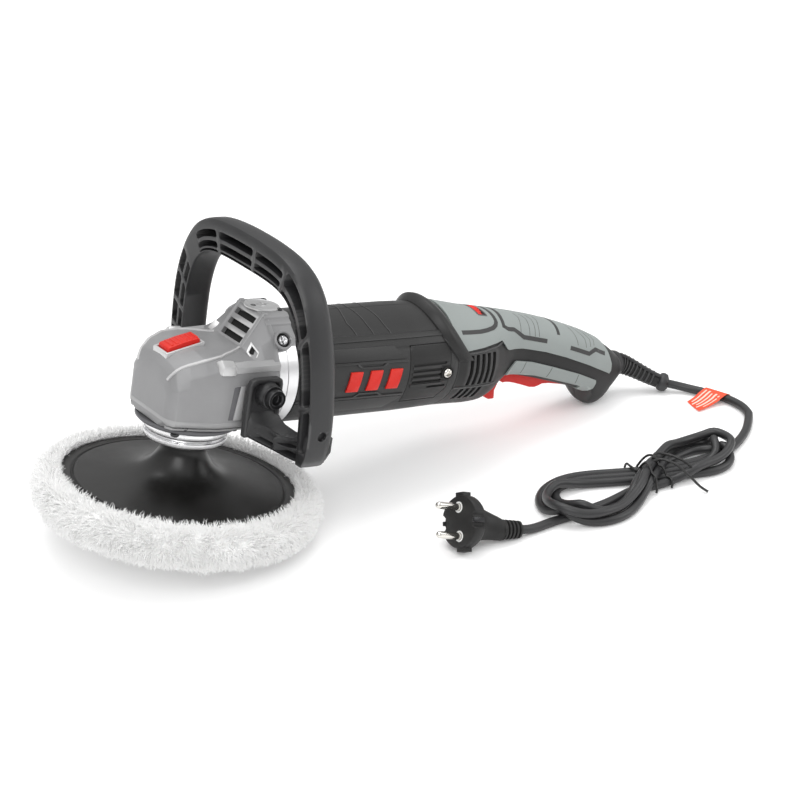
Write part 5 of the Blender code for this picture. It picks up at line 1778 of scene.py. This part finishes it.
def shell_loft(outset, ahead=0.0, end_in=0):
    """The rear handle's body at an offset from its surface."""
    rings = []
    rows = dense_rows()
    if end_in:
        rows = rows[:-end_in]
    if ahead:
        rows = [[rows[0][0] - ahead] + rows[0][1:]] + rows
    for x, top, bottom, half, above, below in rows:
        reach = HEEL_R ** 2 - (x - HEEL_X) ** 2
        if reach > 0:
            bottom = min(bottom, HEEL_Z - math.sqrt(reach))
        middle = (top + bottom) / 2
        ring = []
        for i in range(LOFT_SIDES):
            angle = 2 * math.pi * i / LOFT_SIDES - math.pi / 2
            c, s = math.cos(angle), math.sin(angle)
            power = 2 / (above if s > 0 else below)
            y = math.copysign(abs(c) ** power, c) * (half + outset)
            z = math.copysign(abs(s) ** power, s) * ((top - bottom) / 2 + outset)
            ring.append(Vector((x, y, middle + z)))
        rings.append(ring)
    return rings_mesh(rings)


def between(cutter, low, high):
    """Part of the handle's surface inside a cutter, between two offsets."""
    obj = boolean(tool_object("skin", cutter), shell_loft(high), "INTERSECT")
    return boolean(obj, shell_loft(low, ahead=3))


def loft_tree(outset):
    """A tree for finding the handle's surface at an offset."""
    loft = tool_object("surface", shell_loft(outset))
    tree = surface_of(loft)
    bpy.data.objects.remove(loft, do_unlink=True)
    return tree


def make_rear_handle():
    """The hollow shell with its vents, soft skins, grooves and seams."""
    inside = shell_loft(-2.6, ahead=2, end_in=2)
    solid = tool_object("shell", shell_loft(0.0))
    boolean(solid, inside)
    half = block((150, -80, 0), (400, -0.05, 150))
    boolean(solid, half, "INTERSECT")
    openings = [
        block((229.5, -9.2, 20), (329, 9.2, 75)), block((219.0, -15.0, 88), (226.0, 15.0, 120)),
        turned(rod(4.2, 340, 380), "X", (0, 0, 54.5), 24),
    ]
    for i in range(5):
        front = 198.6 + VENT_PITCH * i
        outline = ((0.6, 62.8), (3.7, 62.8), (4.6, 72), (4.6, 84.6), (1.4, 84.6), (1.4, 72))
        openings.append(prism([(front + x, z) for x, z in outline], -46 - 0.1 * i, -20))
    for i in range(4):
        front = 195.6 + VENT_PITCH * i
        openings.append(
            prism(
                [(front - 1.6, 51.0), (front + 1.6, 51.0), (front + 4.4, 60.2), (front + 1.2, 60.2)],
                -44 - 0.1 * i, -12
            )
        )
    for opening in openings:
        boolean(solid, opening)
    pair(solid, "handle_shell", "shell black", "rear_handle", 0.3)

    backing = prism([(192, 50), (192, 86), (232, 86), (232, 62), (222, 50)], -60, -8)
    pair(between(backing, -4.6, -3.4), "vent_shadow", "seam and painted shade black")

    grip = between(prism(GRIP_OUTLINE, -60, -0.05), 0.1, SKIN)
    boolean(grip, block((218.8, -11.4, 96), (226.2, 11.4, 120)))
    pair(grip, "soft_upper_grip", "soft grip", "upper_grip", 0.45)
    strip = between(prism(STRIP_OUTLINE, -60, -9.6), 0.1, SKIN)
    pair(strip, "soft_lower_strip", "soft grip", "lower_grip", 0.45)
    tree = loft_tree(SKIN)
    lines = {
        "grip_line_dial": (
            [
                (193.7, -28.5, 100.6), (202, -27.6, 100.0), (211.1, -26.2, 99.4), (219.6, -24.4, 99.6),
                (225.6, -22.6, 100.0), (229.6, -20.0, 100.9), (231.8, -16.6, 102.0), (232.6, -11, 104.0),
                (232.8, -5, 105.0), (232.8, 0, 105.4)
            ],
            3.1
        ),
        "grip_line_step": (
            [
                (240.8, 0, 104.2), (240.2, -6, 103.8), (239.0, -12.0, 102.0), (237.6, -18.6, 98.6),
                (241.5, -20.2, 97.2), (247.6, -19.6, 96.0), (252.0, -20.0, 92.8), (256.4, -20.3, 89.6),
                (264, -20, 88.0), (279.6, -20.3, 84.9)
            ],
            3.1
        ),
        "grip_line_short": (
            [
                (293.5, 0, 94.2), (293.3, -5, 93.6), (293.0, -9.3, 92.4), (292.5, -13.2, 90.2),
                (292.0, -16.4, 87.6)
            ],
            2.9
        ),
        "grip_line_tail": (
            [
                (302.8, -20, 78.2), (312, -20, 75.4), (322.0, -19.6, 72.1), (325.6, -18.9, 73.4),
                (329.2, -17.9, 74.4), (335, -17.2, 72.3), (341.2, -16.3, 69.9)
            ],
            3.0
        ),
    }
    for name, (line, width) in lines.items():
        pair(laid_strip(tree, line, width, 0.12, 0.9, 0.9), name, "shell black")
    fine = {
        "grip_groove_a": [
            [
                (256.8, -3.0, 101.2), (257.6, -8.6, 100.2), (255.6, -14.5, 97.4), (254.2, -18.6, 93.8),
                (253.8, -19.4, 92.2)
            ],
            [
                (262.6, -3.0, 100.2), (264.6, -8.6, 99.0), (264.0, -13.6, 96.4), (262.8, -18.3, 91.4),
                (262.6, -19.2, 89.6)
            ],
            [
                (268.4, -3.0, 99.0), (270.2, -8.4, 97.6), (269.6, -13.4, 95.4), (268.2, -18.2, 90.6),
                (268.0, -19.0, 88.8)
            ],
            [
                (274.8, -3.0, 97.6), (275.2, -8.4, 96.4), (273.0, -14.4, 93.6), (272.2, -18.3, 89.2),
                (272.2, -19.0, 88.2)
            ],
        ],
        "grip_groove_b": [
            [(306.6, -3.0, 89.8), (308.6, -9.0, 87.8), (310.6, -15.4, 83.4), (310.7, -18.3, 78.9)],
            [(313.4, -3.0, 87.6), (316.0, -9.0, 85.4), (319.8, -13.6, 81.6), (319.2, -17.9, 76.4)],
            [(320.0, -3.0, 85.6), (322.6, -8.6, 83.6), (325.4, -12.6, 80.4), (324.0, -16.6, 76.2)],
            [(325.4, -3.0, 83.6), (327.6, -7.6, 82.6), (330.4, -11.0, 79.8), (328.4, -15.6, 76.6)],
        ],
    }
    for name, group in fine.items():
        made = joined([laid_strip(tree, line, 0.45, 0.05, 0.5, 0.9) for line in group])
        pair(made, name, "charcoal")
    seams = joined([laid_strip(tree, line, 0.5, 0.05, 0.5, 0.8) for line in (
        [(262.0, -20.6, 71.0), (259.0, -20.6, 61.8)], [(287.9, -20.3, 64.6), (284.6, -20.2, 56.6)],
        [(314.4, -20.2, 57.0), (313.4, -20.0, 49.4)],
    )])
    pair(seams, "strip_seams", "charcoal")
    shell_tree = loft_tree(0.0)
    seam = [
        (190.6, -35.2, 86.6), (198, -35.0, 86.6), (214, -33.0, 87.0), (228, -29.5, 88.6), (233.5, -27.0, 90.2)
    ]
    pair(laid_strip(shell_tree, seam, 1.6, 0.7, 1.0, 1.2, 0.3), "vent_band", "charcoal")
    lower = [
        (189.0, -34.0, 61.6), (200, -33.0, 61.4), (212, -31.0, 61.4), (221, -29.0, 61.6), (228, -26.0, 62.6)
    ]
    pair(laid_strip(shell_tree, lower, 1.2, 0.6, 1.0, 1.2, 0.3), "vent_waist", "charcoal")
    joint = []
    for degrees in range(-80, 81, 4):
        angle = math.radians(degrees)
        back = 185.4 + 3.0 * math.cos(angle) - (5.5 * (math.sin(angle) < -0.55) * (-math.sin(angle) - 0.55))
        joint.append((back, -36.3 * math.cos(angle), MOTOR_Z + 36.3 * math.sin(angle)))
    pair(
        laid_strip(shell_tree, joint[:34], 0.7, 0.05, 0.5, 1.2), "housing_joint", "seam and painted shade black",
    )
    parting = [(x, 0, z) for x, z in ((188, 39.8), (200, 39.6), (214, 39.4), (225, 40.6), (229, 42))]
    piece(
        "handle_parting_line", laid_strip(shell_tree, parting, 0.4, 0.05, 0.5, 1.2), "seam and painted shade black",
    )
    heel_collar = rounded([(6.0, 362), (9.6, 362), (9.9, 364), (9.4, 367.4), (6.0, 367.4)], 0.6, 3)
    piece("cord_collar", turned(heel_collar, "X", (0, 0, 54.3), 64), "handle black", smooth=40)


def joint_place(name):
    """Where a joint is, in tool millimetres."""
    return TOOL.inverted() @ Vector(JOINTS[name]["pos_m"])


def make_controls():
    """The trigger, the lock-off tab, and the speed dial in its window."""
    px = joint_place("trigger_squeeze").x
    outline = [
        (247.5, 58.6), (252, 62.5), (275, 60), (300, 55.5), (px, 52.3), (px + 3.2, 51.6), (px + 4, 50.3),
        (px + 4, 46.9), (px + 3.2, 45.6),
        (318, 44.4), (311, 45.2), (305, 46.2), (298, 47.2), (292, 47.3), (288.5, 46.0), (285, 45.2),
        (280.5, 45.6), (273, 47.9), (266, 49.9), (261, 51.0), (257, 51.4),
        (254.5, 51.0), (252.8, 53.0), (252.2, 55.4), (250.4, 57.0), (247.5, 57.2),
    ]
    piece(
        "trigger_lever", prism(outline, -8.4, 8.4), "red", "trigger", body="trigger",
        soft=(1.3, 4, 40)
    )
    piece(
        "trigger_lip",
        prism(
            [
                (252.0, 62.0), (275, 59.5), (300, 55.0), (322, 50.6), (322, 49.0), (300, 53.0), (275, 57.2),
                (252.6, 59.6)
            ],
            -9.1, 9.1
        ),
        "red", body="trigger", soft=(0.5, 3)
    )
    lx, _, lz = joint_place("lock_off_flip")
    outline = [
        (lx - 2.2, lz + 2.6), (lx - 0.4, lz + 3.4), (lx + 1.8, lz + 3.2), (lx + 3.0, lz + 1.2),
        (lx + 3.0, lz - 1), (lx + 1.6, lz - 4.6), (lx + 1.2, 45.5), (lx + 2.0, 39.8),
        (lx + 1.2, 39.3), (lx - 3.0, 39.2), (lx - 5.0, 40.2), (235.0, 44.0), (236.0, 46.6), (238.2, 49.0),
        (242.4, 52.5),
    ]
    piece(
        "lock_off_tab", prism(outline, -7.9, 7.9), "red", "lock_off_lever",
        body="lock_off_lever", soft=(0.8, 3, 40)
    )
    rivet = [(0, -8.3), (1.5, -8.3), (1.5, 8.3), (0, 8.3)]
    piece(
        "lock_off_pin", turned(rounded(rivet, 0.3, 2, closed=False), "Y", (lx, 0, lz), 32), "nickel",
        body="lock_off_lever"
    )

    centre = joint_place("speed_dial_turn")
    rings = []
    sides = 144
    for x, r in (
        (219.7, 2.2), (219.7, 13.2), (220.3, 14.2), (220.9, 14.5), (224.1, 14.5), (224.8, 14.2), (225.3, 13.2),
        (225.3, 2.2)
    ):
        ring = []
        for i in range(sides):
            angle = 2 * math.pi * i / sides
            notch = 0.45 * (i % 4 < 2) if r > 13 else 0
            ring.append(Vector((x, (r - notch) * math.cos(angle), centre.z + (r - notch) * math.sin(angle))))
        rings.append(ring)
    piece(
        "thumb_wheel", rings_mesh(rings, capped=False, looped=True), "red", "speed_dial",
        body="speed_dial", smooth=40
    )
    tree = loft_tree(SKIN)
    edges = [
        [(218.6, -11.2, 106), (218.6, 0, 107.3), (218.6, 11.2, 106)],
        [(226.4, -11.2, 104.6), (226.4, 0, 106.2), (226.4, 11.2, 104.6)],
        [(218.4, -11.6, 105.6), (226.6, -11.6, 104.2)],
        [(218.4, 11.6, 105.6), (226.6, 11.6, 104.2)],
    ]
    edge = joined([laid_strip(tree, line, 1.3, 0.12, 1.6, 0.9) for line in edges])
    piece("dial_window_edge", edge, "handle black")


def paint_inside():
    """Materials for the nodes that stay as they were packed."""
    looks = {
        "foam": ("foam_disc",),
        "steel": (
            "plate_hub_insert", "large_bevel_gear", "bevel_pinion", "spindle", "spindle_bearing_lower",
            "spindle_bearing_upper",
            "armature_shaft", "front_bearing", "rear_bearing", "spindle_lock_pin", "trigger_pin", "dial_axle",
        ),
        "copper": ("armature_core", "commutator"),
        "dark casting": ("stator", "speed_module"),
        "carbon": ("carbon_brush_near", "carbon_brush_far"),
        "handle black": ("cooling_fan", "switch_body"),
    }
    for material, names in looks.items():
        paint(material, *names)


plug_pieces = make_plug()
make_relief()
tie_pieces = make_ties(cord_points)
make_tag()
make_wool()
make_plate()
make_collar_and_flange()
make_head()
make_bow()
make_motor_housing()
make_rear_handle()
make_controls()
paint_inside()
